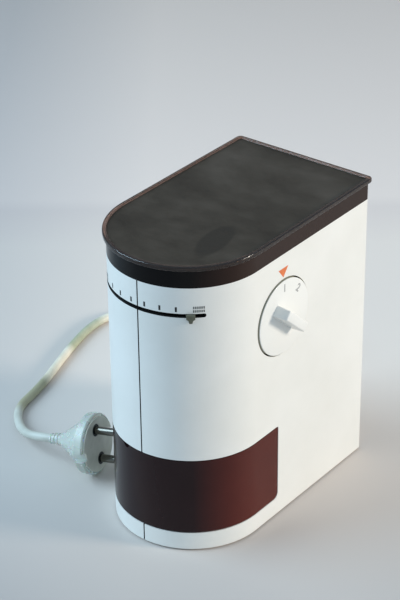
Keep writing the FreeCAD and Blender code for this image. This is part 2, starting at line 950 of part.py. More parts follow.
def burr_chamber():
    wall_inner = chamber_radius - S.chamber_wall
    cup = turned(
        "chamber_cup",
        [
            (S.bush_radius, cover_top),
            (chamber_radius, cover_top),
            (chamber_radius, chamber_top),
            (wall_inner, chamber_top),
            (wall_inner, chamber_floor_top),
            (S.bush_radius, chamber_floor_top),
            (S.bush_radius, cover_top),
        ],
    )
    spout_side = S.outlet_half + S.chute_wall
    outlet_top = chamber_floor_top + S.outlet_rise
    spout = block(
        "chamber_spout",
        (-spout_side, spout_side),
        (chute_rear, burr_y - wall_inner - S.chamber_wall / 4),
        (cover_top, outlet_top + S.chute_wall),
    )
    outlet = block(
        "chamber_outlet",
        (-S.outlet_half, S.outlet_half),
        (chute_rear - S.overrun, burr_y - wall_inner + S.overrun),
        (chamber_floor_top, outlet_top),
    )
    bowl = rod("chamber_bowl", wall_inner, chamber_floor_top, chamber_top, 0, burr_y)
    keep(cut("burr_chamber", fuse("chamber_solid", cup, spout), outlet, bowl))

    chute = block(
        "chute_block",
        (-spout_side, spout_side),
        (chute_front, chute_rear),
        (drawer_high + S.running_gap, outlet_top + S.chute_wall),
    )
    channel = block(
        "chute_channel",
        (-S.outlet_half, S.outlet_half),
        (chute_front + S.chute_wall, chute_rear - S.chute_wall),
        (0, outlet_top),
    )
    window = block(
        "chute_window",
        (-S.outlet_half, S.outlet_half),
        (chute_rear - S.chute_wall * 2, chute_rear + S.overrun),
        (chamber_floor_top, outlet_top),
    )
    keep(cut("grounds_chute", chute, channel, window))
    bushes = [
        sleeve("lower_bush", S.spindle_radius + S.bearing_gap, S.bush_radius, deck_z, deck_top),
        sleeve("upper_bush", S.spindle_radius + S.bearing_gap, S.bush_radius, cover_z, chamber_floor_top),
    ]
    keep(group("spindle_bushes", *bushes))


def grooved_burr(name, inner, low, high, groove_low, groove_high):
    """A ring with slanted grooves across the face that grinds."""
    body = doc.addObject("PartDesign::Body", name)
    pad(body, name + "_ring", low, high, circle(0, 0, S.burr_radius), circle(0, 0, inner))
    groove = pocket(
        body,
        name + "_groove",
        groove_low,
        groove_high,
        rectangle(
            (inner / 2, S.burr_radius + S.burr_groove_depth),
            (S.burr_groove_skew, S.burr_groove_skew + S.burr_groove_width),
        ),
    )
    repeat(body, groove, S.burr_groove_count)
    place(body, 0, burr_y, 0)
    return body


def burrs():
    clip_low = deck_z - S.running_gap - S.clip_thick
    groove_radius = S.spindle_radius - S.clip_groove
    feed_top = lower_burr_top + S.feed_rise
    keep(
        turned(
            "burr_spindle",
            [
                (0, deck_z - S.spindle_drop),
                (S.spindle_radius, deck_z - S.spindle_drop),
                (S.spindle_radius, clip_low),
                (groove_radius, clip_low),
                (groove_radius, clip_low + S.clip_thick),
                (S.spindle_radius, clip_low + S.clip_thick),
                (S.spindle_radius, feed_top - S.feed_fin_thick),
                (0, feed_top - S.feed_fin_thick),
                (0, deck_z - S.spindle_drop),
            ],
        )
    )
    keep(sleeve("spindle_clip", groove_radius, S.clip_radius, clip_low, clip_low + S.clip_thick))
    keep(
        turned(
            "burr_hub",
            [
                (S.spindle_radius, hub_low),
                (S.burr_radius, hub_low),
                (S.burr_radius, hub_top),
                (S.hub_collar, hub_top),
                (S.hub_collar, lower_burr_top),
                (S.spindle_radius, lower_burr_top),
                (S.spindle_radius, hub_low),
            ],
        )
    )
    keep(
        grooved_burr(
            "lower_burr",
            S.hub_collar,
            hub_top,
            lower_burr_top,
            lower_burr_top - S.burr_groove_depth,
            lower_burr_top,
        )
    )
    sweeper = doc.addObject("PartDesign::Body", "sweeper")
    rim = S.burr_radius + S.sweeper_wall
    pad(sweeper, "sweeper_ring", hub_low, hub_top, circle(0, 0, rim), circle(0, 0, S.burr_radius))
    blade = pad(
        sweeper,
        "sweeper_blade",
        hub_low,
        hub_low + S.sweeper_rise,
        rectangle(
            (rim - S.sweeper_wall / 2, chamber_radius - S.chamber_wall - S.sweeper_gap - S.running_gap / 2),
            (-S.sweeper_blade / 2, S.sweeper_blade / 2),
        ),
    )
    repeat(sweeper, blade, 3)
    keep(place(sweeper, 0, burr_y, 0))

    cone = turned(
        "feed_cone",
        [
            (0, lower_burr_top),
            (S.feed_low_radius, lower_burr_top),
            (S.feed_high_radius, feed_top),
            (0, feed_top),
            (0, lower_burr_top),
        ],
    )
    fins = [
        block(
            "feed_fin_across",
            (-S.feed_fin_reach, S.feed_fin_reach),
            (burr_y - S.feed_fin_thick / 2, burr_y + S.feed_fin_thick / 2),
            (lower_burr_top, lower_burr_top + S.feed_fin_rise),
        ),
        block(
            "feed_fin_along",
            (-S.feed_fin_thick / 2, S.feed_fin_thick / 2),
            (burr_y - S.feed_fin_reach, burr_y + S.feed_fin_reach),
            (lower_burr_top, lower_burr_top + S.feed_fin_rise),
        ),
    ]
    bore = rod("feed_bore", S.spindle_radius, lower_burr_top, feed_top - S.feed_fin_thick, 0, burr_y)
    keep(cut("feed_screw", fuse("feed_solid", cone, *fins), bore))


def ring_of_places(radius, count, start):
    """Places around the arc's axis, as numbers, from the sheet's radius."""
    turns = [math.radians(start + 360 * i / count) for i in range(count)]
    return [(radius * math.cos(a), burr_y + radius * math.sin(a)) for a in turns]


def upper_burr():
    burr = grooved_burr(
        "upper_burr_ring",
        S.burr_bore,
        upper_burr_low,
        upper_burr_top,
        upper_burr_low,
        upper_burr_low + S.burr_groove_depth,
    )
    screw_places = ring_of_places(S.burr_screw_ring, 3, 90)
    head_top = upper_burr_low + S.burr_groove_depth + S.burr_screw_head_height
    head_low = upper_burr_low + S.burr_groove_depth
    tip = head_top + S.burr_screw_length
    holes = []
    screws = []
    for i, (x, y) in enumerate(screw_places):
        holes.append(rod(f"burr_hole_{i}", S.burr_screw_radius, upper_burr_low, tip, x, y))
        holes.append(rod(f"burr_head_hole_{i}", S.burr_screw_head, upper_burr_low, head_top, x, y))
        shank = rod(f"burr_shank_{i}", S.burr_screw_radius, head_top, tip, x, y)
        head = rod(f"burr_head_{i}", S.burr_screw_head, head_low, head_top, x, y)
        screws.append(fuse(f"burr_screw_{i}", head, shank))
    keep(cut("upper_burr", burr, *holes))
    keep(group("upper_burr_screws", *screws))

    carrier_outer = chamber_radius - S.chamber_wall - S.running_gap
    carrier = sleeve("carrier_ring", S.burr_bore, carrier_outer, upper_burr_top, carrier_top)
    tips = [
        rod(f"carrier_hole_{i}", S.burr_screw_radius, upper_burr_top, tip, x, y)
        for i, (x, y) in enumerate(screw_places)
    ]
    socket_low = ring_low - S.dog_length - S.dog_play
    sockets = [
        rod(f"dog_socket_{i}", S.dog_radius + S.running_gap, socket_low, carrier_top, x, y)
        for i, (x, y) in enumerate(dog_places())
    ]
    keep(cut("burr_carrier", carrier, *tips, *sockets))


def dog_places():
    return ring_of_places(S.dog_ring, 2, number(S.slider_angle))


def swing_round(thing, swing, axis):
    """Turns a thing that stands in front of the axis round it."""
    for name in ("x", "y", "z"):
        thing.setExpression(f"Placement.Base.{name}", None)
    start = thing.Placement.Base
    thing.Placement = Placement(axis + swing.multVec(start), swing)


def wall_reach(angle):
    """How far the casing's face is from the burrs' axis, at an angle from straight ahead."""
    ahead = burr_y - arc_y
    aside = number(ahead) * math.sin(angle)
    share = math.sqrt(1 - (aside / number(half_width)) ** 2)
    return half_width * share + ahead * math.cos(angle)


def adjuster():
    ring = sleeve("ring_body", S.ring_inner, S.ring_outer, ring_low, ring_top)
    dogs = [
        rod(f"dog_{i}", S.dog_radius, ring_low - S.dog_length, ring_low, x, y)
        for i, (x, y) in enumerate(dog_places())
    ]
    swing = Rotation(Vector(0, 0, 1), number(S.slider_angle))
    axis = Vector(0, number(burr_y), 0)
    reach = wall_reach(math.radians(number(S.slider_angle)))
    arm = block(
        "ring_arm",
        (-S.blade_width / 2, S.blade_width / 2),
        (-reach - S.running_gap, -S.ring_inner - S.ring_rise / 2),
        (slot_z - S.blade_thick / 2, slot_z + S.blade_thick / 2),
    )
    swing_round(arm, swing, axis)
    keep(fuse("adjusting_ring", ring, *dogs, arm))

    tab = doc.addObject("PartDesign::Body", "slider_tab")
    shield = [
        (-S.tab_half, S.tab_above),
        (-S.tab_half, -S.tab_below),
        (-S.tab_point_half, -S.tab_point),
        (S.tab_point_half, -S.tab_point),
        (S.tab_half, -S.tab_below),
        (S.tab_half, S.tab_above),
        (-S.tab_half, S.tab_above),
    ]
    pad(tab, "tab_shield", 0, S.tab_thick, shield, role="XZ_Plane")
    place(tab, 0, -reach - S.running_gap, slot_z)
    swing_round(tab, swing, axis)
    keep(tab)


# Gears
def gear_outline(teeth, module, backlash, first_tooth):
    """Corners of an involute gear, tooth by tooth; first_tooth is the angle of a tooth's middle."""
    pressure = math.radians(20)
    pitch = module * teeth / 2
    base_radius = pitch * math.cos(pressure)
    tip = pitch + ADDENDUM_SHARE * module
    root = pitch - DEDENDUM_SHARE * module
    half_tooth = math.pi / (2 * teeth) - backlash / (2 * pitch)
    spread = half_tooth + math.tan(pressure) - pressure
    flank_start = max(base_radius, root)
    steps = 5
    flank = []
    for i in range(steps):
        radius = flank_start + (tip - flank_start) * i / (steps - 1)
        roll = math.acos(min(1.0, base_radius / radius))
        flank.append((radius, spread - (math.tan(roll) - roll)))
    if root < flank_start:
        flank.insert(0, (root, flank[0][1]))
    corners = []
    for tooth in range(teeth):
        middle = first_tooth + 2 * math.pi * tooth / teeth
        rising = [(radius, middle - angle) for radius, angle in flank]
        falling = [(radius, middle + angle) for radius, angle in reversed(flank)]
        corners += [Vector(radius * math.cos(a), radius * math.sin(a), 0) for radius, a in rising + falling]
    return corners


def gear_blank(name, teeth, first_tooth, y, low, high):
    thinning = number(S.gear_backlash) / 2
    corners = gear_outline(int(number(teeth)), number(S.gear_module), thinning, first_tooth)
    face = Part.Face(Part.makePolygon(corners + corners[:1]))
    thing = doc.addObject("Part::Feature", name)
    thing.Shape = face.extrude(Vector(0, 0, number(high - low)))
    return place(thing, 0, y, low)


def gears():
    wheel = gear_blank("gear_blank", S.gear_teeth, math.radians(90), burr_y, gear_z, gear_top)
    bore = rod("gear_bore", S.spindle_radius, gear_z, gear_top, 0, burr_y)
    rim_inner = S.gear_module * S.gear_teeth / 2 - S.gear_rim
    web_top = gear_z + S.gear_face / 2 + S.gear_web / 2
    web_low = gear_z + S.gear_face / 2 - S.gear_web / 2
    above = sleeve("gear_hollow_above", S.gear_hub, rim_inner, web_top, web_top + S.overrun)
    below = sleeve("gear_hollow_below", S.gear_hub, rim_inner, web_low - S.overrun, web_low)
    keep(cut("drive_gear", wheel, bore, above, below))

    low = gear_z - S.pinion_proud
    high = gear_top + S.pinion_proud
    first_tooth = math.radians(-90) + math.pi / number(S.pinion_teeth)
    blank = gear_blank("pinion_blank", S.pinion_teeth, first_tooth, motor_y, low, high)
    keep(cut("motor_pinion", blank, rod("pinion_bore", S.shaft_radius, low, high, 0, motor_y)))


# Motor
def motor_posts():
    return [
        (side * S.motor_post_x, motor_y + end * S.motor_post_y)
        for side in (-1, 1)
        for end in (-1, 1)
    ]


def sector(name, inner, outer, low, high, start, angle):
    """A piece of a sleeve around the motor's axis."""
    parts = []
    for label, radius in (("outer", outer), ("inner", inner)):
        thing = doc.addObject("Part::Cylinder", f"{name}_{label}")
        bind(thing, "Radius", radius)
        bind(thing, "Height", high - low)
        if label == "outer":
            bind(thing, "Angle", angle)
        place(thing, 0, motor_y, low, Rotation(Vector(0, 0, 1), start))
        parts.append(thing)
    return cut(name, *parts)


def stator():
    half = S.stator_half
    bend = half - S.stator_corner
    stack = [
        (-bend, motor_y - half),
        (bend, motor_y - half),
        (half, motor_y - bend, bend, motor_y - bend),
        (half, motor_y + bend),
        (bend, motor_y + half, bend, motor_y + bend),
        (-bend, motor_y + half),
        (-half, motor_y + bend, -bend, motor_y + bend),
        (-half, motor_y - bend),
        (-bend, motor_y - half, -bend, motor_y - bend),
    ]
    holes = [circle(x, y, S.motor_screw_radius) for x, y in motor_posts()]
    blank = prism("stator_blank", stack_low, stack_high, stack, circle(0, motor_y, S.stator_bore), *holes)
    windows = []
    for label, middle in (("right", 0), ("left", 180)):
        window = doc.addObject("Part::Cylinder", f"stator_window_{label}")
        bind(window, "Radius", S.pole_window)
        bind(window, "Height", S.stack_rise)
        bind(window, "Angle", S.pole_window_angle)
        turn = Rotation(Vector(0, 0, 1), middle - number(S.pole_window_angle) / 2)
        windows.append(place(window, 0, motor_y, stack_low, turn))
    keep(cut("stator_core", blank, *windows))

    coils = []
    inner = S.stator_bore + S.coil_inset
    outer = S.pole_window - S.coil_inset
    low = stack_low - S.coil_overhang
    high = stack_high + S.coil_overhang
    for label, middle in (("rear", 90), ("front", 270)):
        whole_start = middle - number(S.coil_span) / 2
        pole_start = middle - number(S.coil_pole) / 2
        whole = sector(f"coil_{label}_whole", inner, outer, low, high, whole_start, S.coil_span)
        gap = S.coil_inset / 2
        pole = sector(
            f"coil_{label}_pole",
            inner - S.overrun,
            outer + S.overrun,
            stack_low - gap,
            stack_high + gap,
            pole_start,
            S.coil_pole,
        )
        coils.append(cut(f"coil_{label}", whole, pole))
    keep(group("field_coils", *coils))


def rotor():
    keep(rod("motor_shaft", S.shaft_radius, bracket_low - S.shaft_tail, gear_top + S.shaft_tip, 0, motor_y))
    radius = S.stator_bore - S.air_gap
    core = doc.addObject("PartDesign::Body", "armature_core")
    core_rings = (circle(0, 0, radius), circle(0, 0, S.shaft_radius))
    pad(core, "core_stack", stack_low, stack_high, *core_rings)
    slot = pocket(
        core,
        "core_slot",
        stack_low,
        stack_high,
        rectangle(
            (radius - S.core_slot_depth, radius + S.air_gap),
            (-S.core_slot_width / 2, S.core_slot_width / 2),
        ),
    )
    repeat(core, slot, S.core_slot_count)
    keep(place(core, 0, motor_y, 0))
    windings = [
        sleeve(label, S.winding_bore, S.winding_radius, low, low + S.winding_rise, y=motor_y)
        for label, low in (("winding_low", stack_low - S.winding_rise), ("winding_high", stack_high))
    ]
    keep(group("armature_windings", *windings))
    top = commutator_low + S.commutator_rise
    keep(sleeve("commutator", S.shaft_radius, S.commutator_radius, commutator_low, top, y=motor_y))

    fan = doc.addObject("PartDesign::Body", "cooling_fan")
    disc_top = fan_low + S.fan_disc
    pad(fan, "fan_disc", fan_low, disc_top, circle(0, 0, S.fan_radius), circle(0, 0, S.shaft_radius))
    hub = (circle(0, 0, S.fan_hub), circle(0, 0, S.shaft_radius))
    pad(fan, "fan_hub", fan_low, fan_low + S.fan_rise, *hub)
    outline = rectangle(
        (S.fan_hub + S.fan_blade, S.fan_radius - S.fan_blade),
        (-S.fan_blade / 2, S.fan_blade / 2),
    )
    blade = pad(fan, "fan_blade", fan_low, fan_low + S.fan_rise, outline)
    repeat(fan, blade, S.fan_blade_count)
    keep(place(fan, 0, motor_y, 0))


def motor_frame():
    bore = S.shaft_radius + S.bearing_gap
    keep(sleeve("upper_bearing", bore, S.bearing_radius, deck_z, deck_top, y=motor_y))
    keep(sleeve("lower_bearing", bore, S.bearing_radius, bracket_low, bracket_top, y=motor_y))

    plate = block(
        "bracket_plate",
        (-S.bracket_half, S.bracket_half),
        (motor_y - S.bracket_depth, motor_y + S.bracket_depth),
        (bracket_low, bracket_top),
    )
    legs = []
    holes = [rod("bracket_bore", S.bearing_radius, bracket_low, bracket_top, 0, motor_y)]
    spacers = []
    screws = []
    spacer_wall = (S.motor_screw_radius, S.motor_post_radius)
    head_low = bracket_low - S.screw_head_height
    for i, (x, y) in enumerate(motor_posts()):
        legs.append(rod(f"leg_{i}", S.motor_post_radius, bracket_low, stack_low, x, y))
        holes.append(rod(f"leg_hole_{i}", S.motor_screw_radius, bracket_low, stack_low, x, y))
        spacers.append(sleeve(f"spacer_{i}", *spacer_wall, stack_high, deck_z, x=x, y=y))
        shank = rod(f"motor_shank_{i}", S.motor_screw_radius, bracket_low, deck_top, x, y)
        head = rod(f"motor_head_{i}", S.screw_head_radius, head_low, bracket_low, x, y)
        screws.append(fuse(f"motor_screw_{i}", head, shank))
    keep(cut("motor_bracket", fuse("bracket_solid", plate, *legs), *holes))
    keep(group("motor_spacers", *spacers))
    keep(group("motor_screws", *screws))

    brushes = []
    holders = []
    middle_z = commutator_low + S.commutator_rise / 2
    for label, side in (("left", -1), ("right", 1)):
        box = block(
            f"holder_box_{label}",
            across(S.holder_start, S.holder_start + S.holder_length, side),
            (motor_y - S.holder_half, motor_y + S.holder_half),
            (bracket_top, middle_z + S.holder_half),
        )
        tip = S.commutator_radius + S.brush_gap
        brush_size = (
            across(tip, tip + S.brush_length, side),
            (motor_y - S.brush_half, motor_y + S.brush_half),
            (middle_z - S.brush_half, middle_z + S.brush_half),
        )
        brushes.append(block(f"brush_{label}", *brush_size))
        holders.append(cut(f"holder_{label}", box, block(f"brush_room_{label}", *brush_size)))
    keep(group("brush_holders", *holders))
    keep(group("carbon_brushes", *brushes))


# Timer
def timer():
    case = (
        (timer_x, timer_x + S.timer_depth),
        (dial_y - S.timer_front, dial_y + S.timer_back),
        (cover_top, cover_top + S.timer_rise),
    )
    room = tuple((start + S.timer_wall, end - S.timer_wall) for start, end in case)
    shaft_start = timer_x + S.timer_wall + S.running_gap
    bore = S.timer_shaft_radius + S.bearing_gap
    hole = rod_x("timer_hole", bore, shaft_start, half_width, dial_y, dial_z)
    keep(cut("timer_case", block("timer_box", *case), block("timer_room", *room), hole))

    disc_back = half_width - S.dial_sink
    dial_axis = (dial_y, dial_z)
    shaft_end = half_width - S.dial_proud
    keep(rod_x("timer_shaft", S.timer_shaft_radius, shaft_start, shaft_end, *dial_axis))
    cam_start = timer_x + S.cam_start
    cam_reach = (cam_start, cam_start + S.cam_thick)
    cam = rod_x("cam_disc", S.cam_radius, *cam_reach, *dial_axis)
    cam_bore = rod_x("cam_bore", S.timer_shaft_radius, *cam_reach, *dial_axis)
    keep(cut("timer_cam", cam, cam_bore))
    keep(
        block(
            "timer_switch",
            (cam_start, cam_start + S.switch_width),
            (dial_y - S.switch_length / 2, dial_y + S.switch_length / 2),
            (cover_top + S.timer_wall, cover_top + S.timer_wall + S.switch_rise),
        )
    )

    dial = doc.addObject("PartDesign::Body", "timer_dial")
    face = S.dial_sink + S.dial_proud
    pad(dial, "dial_disc", 0, face, circle(0, 0, S.dial_radius))
    pocket(dial, "dial_socket", 0, S.dial_sink - S.dial_proud, circle(0, 0, S.timer_shaft_radius))
    round_edges(
        dial,
        "dial_rim_round",
        S.dial_round,
        lambda edge: level_edge(edge, face) and edge.BoundBox.XLength > number(S.dial_radius),
    )
    long_half = S.grip_length / 2
    wide_half = S.grip_width / 2
    grip = pad(
        dial,
        "dial_grip",
        face,
        face + S.grip_rise,
        rectangle((-long_half, long_half), (-wide_half, wide_half)),
    )
    bind(grip, "TaperAngle", -S.grip_draft)
    round_edges(dial, "grip_round_off", S.grip_round, lambda edge: edge.BoundBox.ZMax > number(face) + 1e-3)
    turn = Rotation(Vector(1, 0, 0), number(S.grip_turn)).multiply(ALONG_X)
    keep(place(dial, disc_back, dial_y, dial_z, turn))


# Electrical pieces and the strain relief
def wiring():
    keep(
        rod(
            "capacitor",
            S.capacitor_radius,
            base_top,
            base_top + S.capacitor_rise,
            half_width - S.capacitor_side,
            rear_y - S.capacitor_inset,
        )
    )
    terminal_back = rear_y - S.terminal_inset
    keep(
        block(
            "terminal_block",
            (S.cord_x - S.terminal_width / 2, S.cord_x + S.terminal_width / 2),
            (terminal_back - S.terminal_depth, terminal_back),
            (base_top, base_top + S.terminal_rise),
        )
    )
    inner_face = rear_y - S.wall - S.relief_flange_thick
    keep(rod_y("inner_lead", S.cord_radius, terminal_back, inner_face, S.cord_x, S.cord_exit_z))
    clamp_back = rear_y - S.clamp_inset
    clamp = block(
        "clamp_block",
        (S.cord_x - S.clamp_width / 2, S.cord_x + S.clamp_width / 2),
        (clamp_back - S.clamp_depth, clamp_back),
        (base_top, base_top + S.clamp_rise),
    )
    passage = rod_y("clamp_passage", S.cord_radius, terminal_back, inner_face, S.cord_x, S.cord_exit_z)
    keep(cut("cord_clamp", clamp, passage))

    rib = S.relief_length / (S.relief_rib_count * 2 + 2)
    corners = [
        (0, -S.wall - S.relief_flange_thick),
        (S.relief_flange, -S.wall - S.relief_flange_thick),
        (S.relief_flange, -S.wall),
        (S.relief_radius, -S.wall),
        (S.relief_radius, 0),
        (S.relief_flange, 0),
        (S.relief_flange, rib),
        (S.relief_radius, rib * 1.5),
    ]
    taper = (S.relief_radius - S.relief_end_radius) / S.relief_length
    for i in range(1, int(number(S.relief_rib_count)) + 1):
        for at, depth in ((2 * i, 0), (2 * i, 1), (2 * i + 1, 1), (2 * i + 1, 0)):
            along = rib * at
            corners.append((S.relief_radius - taper * along - S.relief_rib_depth * depth, along))
    corners += [(S.relief_end_radius, S.relief_length), (0, S.relief_length), corners[0]]
    keep(turned("strain_relief", corners, x=S.cord_x, y=rear_y, z=S.cord_exit_z, turn=ALONG_Y))


# Cord and plug
def corner_arc(before, corner, after):
    """The two ends and the middle of the largest arc that rounds a corner of a route."""
    back = before - corner
    ahead = after - corner
    shorter = min(back.Length, ahead.Length)
    turn = math.pi - back.getAngle(ahead)
    reach = RUN_SHARE * shorter
    start = corner + back * (reach / back.Length)
    end = corner + ahead * (reach / ahead.Length)
    chord_middle = (start + end) * 0.5
    weight = (chord_middle - start).Length / reach
    middle = (chord_middle + corner * weight) * (1 / (1 + weight))
    return start, middle, end, reach / math.tan(turn / 2)


def tube(name, route):
    """A round tube along straight runs joined by tangent arcs."""
    points = [Vector(*point) for point in route]
    edges = []
    here = points[0]
    radii = []
    for before, corner, after in zip(points, points[1:], points[2:]):
        start, middle, end, radius = corner_arc(before, corner, after)
        edges.append(Part.LineSegment(here, start).toShape())
        edges.append(Part.Arc(start, middle, end).toShape())
        radii.append(radius)
        here = end
    edges.append(Part.LineSegment(here, points[-1]).toShape())
    path = Part.Wire(edges)
    radius = number(S.cord_radius)
    section = Part.Wire(Part.makeCircle(radius, points[0], points[1] - points[0]))
    thing = doc.addObject("Part::Feature", name)
    thing.Shape = path.makePipeShell([section], True, False)
    expected = math.pi * radius**2 * path.Length
    print(f"{name}: length {path.Length:.1f}, least radius {min(radii):.1f}, "
          f"volume {thing.Shape.Volume:.0f} of {expected:.0f}")
    return keep(thing)


# Quarter turns of the coil: inwards on the table, up a layer, and outwards again
COIL_IN_COUNT = 8
COIL_CLIMB_COUNT = 2
COIL_OUT_COUNT = 7
COIL_COUNT = COIL_IN_COUNT + COIL_CLIMB_COUNT + COIL_OUT_COUNT
COIL_START = math.radians(45)


def coil_place(quarters):
    """A place on the coil's middle line after a number of quarter turns."""
    inward = min(quarters, COIL_IN_COUNT)
    climb = min(max(quarters - COIL_IN_COUNT, 0), COIL_CLIMB_COUNT)
    outward = max(quarters - COIL_IN_COUNT - COIL_CLIMB_COUNT, 0)
    radius = number(S.coil_radius) - number(S.coil_pitch) * (inward - outward) / 4
    angle = COIL_START + quarters * math.pi / 2
    height = number(S.cord_radius) + number(S.coil_lift) * climb / COIL_CLIMB_COUNT
    return Vector(
        number(S.coil_x) + radius * math.cos(angle), number(S.coil_y) + radius * math.sin(angle), height
    )


def coil_heading(quarters):
    """The way the coil runs at that place: level but for the climb, and square to the radius at the ends."""
    angle = COIL_START + quarters * math.pi / 2
    if quarters in (0, COIL_COUNT):
        return Vector(-math.sin(angle), math.cos(angle), 0)
    step = 0.01
    way = coil_place(quarters + step) - coil_place(quarters - step)
    if not COIL_IN_COUNT < quarters < COIL_IN_COUNT + COIL_CLIMB_COUNT:
        way.z = 0
    return way.normalize()


def biarc(start, start_way, end, end_way):
    """Two arcs that join two places and two headings, as edges."""
    span = end - start
    sum_way = start_way + end_way
    square = 2 * (1 - start_way.dot(end_way))
    across = span.dot(sum_way)
    reach = (math.sqrt(across**2 + square * span.dot(span)) - across) / square
    first_corner = start + start_way * reach
    second_corner = end - end_way * reach
    joint = (first_corner + second_corner) * 0.5
    edges = []
    for one, corner, other in ((start, first_corner, joint), (joint, second_corner, end)):
        chord_middle = (one + other) * 0.5
        weight = (chord_middle - one).Length / reach
        middle = (chord_middle + corner * weight) * (1 / (1 + weight))
        edges.append(Part.Arc(one, middle, other).toShape())
    return edges


def coil_ends():
    """The straight ends of the coil, one cord diameter long: where the lead and the run meet it."""
    straight = 2 * number(S.cord_radius)
    return (
        coil_place(0) - coil_heading(0) * straight,
        coil_place(COIL_COUNT) + coil_heading(COIL_COUNT) * straight,
    )


def coil():
    start, end = coil_ends()
    edges = [Part.LineSegment(start, coil_place(0)).toShape()]
    for quarter in range(COIL_COUNT):
        here = (coil_place(quarter), coil_heading(quarter))
        there = (coil_place(quarter + 1), coil_heading(quarter + 1))
        edges += biarc(*here, *there)
    edges.append(Part.LineSegment(coil_place(COIL_COUNT), end).toShape())
    path = Part.Wire(edges)
    radius = number(S.cord_radius)
    section = Part.Wire(Part.makeCircle(radius, start, coil_heading(0)))
    thing = doc.addObject("Part::Feature", "cord_coil")
    thing.Shape = path.makePipeShell([section], True, False)
    keep(thing)

    line = path.discretize(Number=600)
    step = path.Length / (len(line) - 1)
    apart = int(4 * radius / step) + 1
    nearest = min(
        (line[i] - line[j]).Length for i in range(len(line)) for j in range(i + apart, len(line))
    )
    expected = math.pi * radius**2 * path.Length
    print(f"cord_coil: length {path.Length:.1f}, least gap to itself {nearest - 2 * radius:.2f}, "
          f"volume {thing.Shape.Volume:.0f} of {expected:.0f}")


def plug_frame():
    """The plug's own axes: z points out of the pins, and the pins lie apart along y."""
    heading = math.radians(number(S.plug_heading))
    tilt = math.radians(number(S.plug_tilt))
    out = Vector(math.cos(tilt) * math.cos(heading), math.cos(tilt) * math.sin(heading), math.sin(tilt))
    up = Vector(-math.sin(tilt) * math.cos(heading), -math.sin(tilt) * math.sin(heading), math.cos(tilt))
    return Rotation(up.cross(out), up, out, "ZYX")


def plug_height():
    """The height of the plug's face, from the rim's back edge, which lies on the table."""
    tilt = math.radians(number(S.plug_tilt))
    return number(S.plug_radius) * math.cos(tilt) + number(S.plug_rim) * math.sin(tilt)


def plug():
    turn = plug_frame()
    where = {"x": plug_x, "y": S.plug_y, "z": plug_height(), "turn": turn}
    shell = turned(
        "plug_shell",
        [
            (0, -S.plug_length),
            (S.plug_tail, -S.plug_length),
            (S.plug_neck, -S.plug_cone),
            (S.plug_shoulder, -S.plug_rim),
            (S.plug_radius, -S.plug_rim),
            (S.plug_radius, 0),
            (0, 0),
            (0, -S.plug_length),
        ],
        x=0,
        y=0,
    )
    notches = []
    for label, side in (("near", -1), ("far", 1)):
        reach = across(S.plug_notch, S.plug_radius + S.overrun, side)
        notch_rise = (-S.plug_rim - S.overrun / 2, S.overrun)
        notch_width = (-S.plug_notch_half, S.plug_notch_half)
        notches.append(block(f"plug_notch_{label}", reach, notch_width, notch_rise))
    body = cut("plug_body", shell, *notches)
    keep(place(body, **where))

    pins = []
    holes = []
    for label, side in (("upper", 1), ("lower", -1)):
        y = S.pin_pitch / 2 * side
        pin = doc.addObject("PartDesign::Body", f"pin_{label}")
        pad(pin, f"pin_{label}_rod", 0, S.pin_length, circle(0, y, S.pin_radius))
        round_edges(pin, f"pin_{label}_tip", S.pin_tip, lambda edge: level_edge(edge, S.pin_length))
        pins.append(pin)
        holes.append(circle(0, y, S.pin_radius))
    keep(place(group("plug_pins", *pins), **where))
    disc = prism("plug_face_disc", 0, S.plug_face_thick, circle(0, 0, S.plug_face_radius), *holes)
    keep(place(cut("plug_face", disc, *notches), **where))


def cords():
    coil_start, coil_end = coil_ends()
    into_coil = coil_start - coil_heading(0) * COIL_END_RUN
    out_of_coil = coil_end + coil_heading(COIL_COUNT) * COIL_END_RUN
    tube("cord_lead", [*LEAD_ROUTE, into_coil, coil_start])
    coil()
    back = plug_frame().multVec(Vector(0, 0, -1))
    tail = Vector(number(plug_x), number(S.plug_y), plug_height()) + back * number(S.plug_length)
    tube("cord_run", [coil_end, out_of_coil, *RUN_ROUTE, tail + back * PLUG_END_RUN, tail])


casing()
base()
drawer()
hopper()
lid()
decks()
burr_chamber()
burrs()
upper_burr()
adjuster()
gears()
stator()
rotor()
motor_frame()
timer()
wiring()
cords()
plug()
doc.recompute()

faults = [thing.Name for thing in doc.Objects if {"Invalid", "Error"} & set(thing.State)]
assert not faults, f"objects that failed: {faults}"
for piece in pieces:
    shape = piece.Shape
    assert not shape.isNull() and shape.isValid() and shape.Volume > 0, f"{piece.Label} has no valid shape"
os.makedirs("parts", exist_ok=True)
for piece in pieces:
    piece.Shape.exportStep(f"parts/{piece.Label}.step")
    print(f"{piece.Label}: {len(piece.Shape.Solids)} solid(s), {piece.Shape.Volume / 1000:.2f} cm3")
print(f"{len(pieces)} pieces")
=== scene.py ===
import json
import math

import bmesh
import bpy
from mathutils import Matrix, Vector


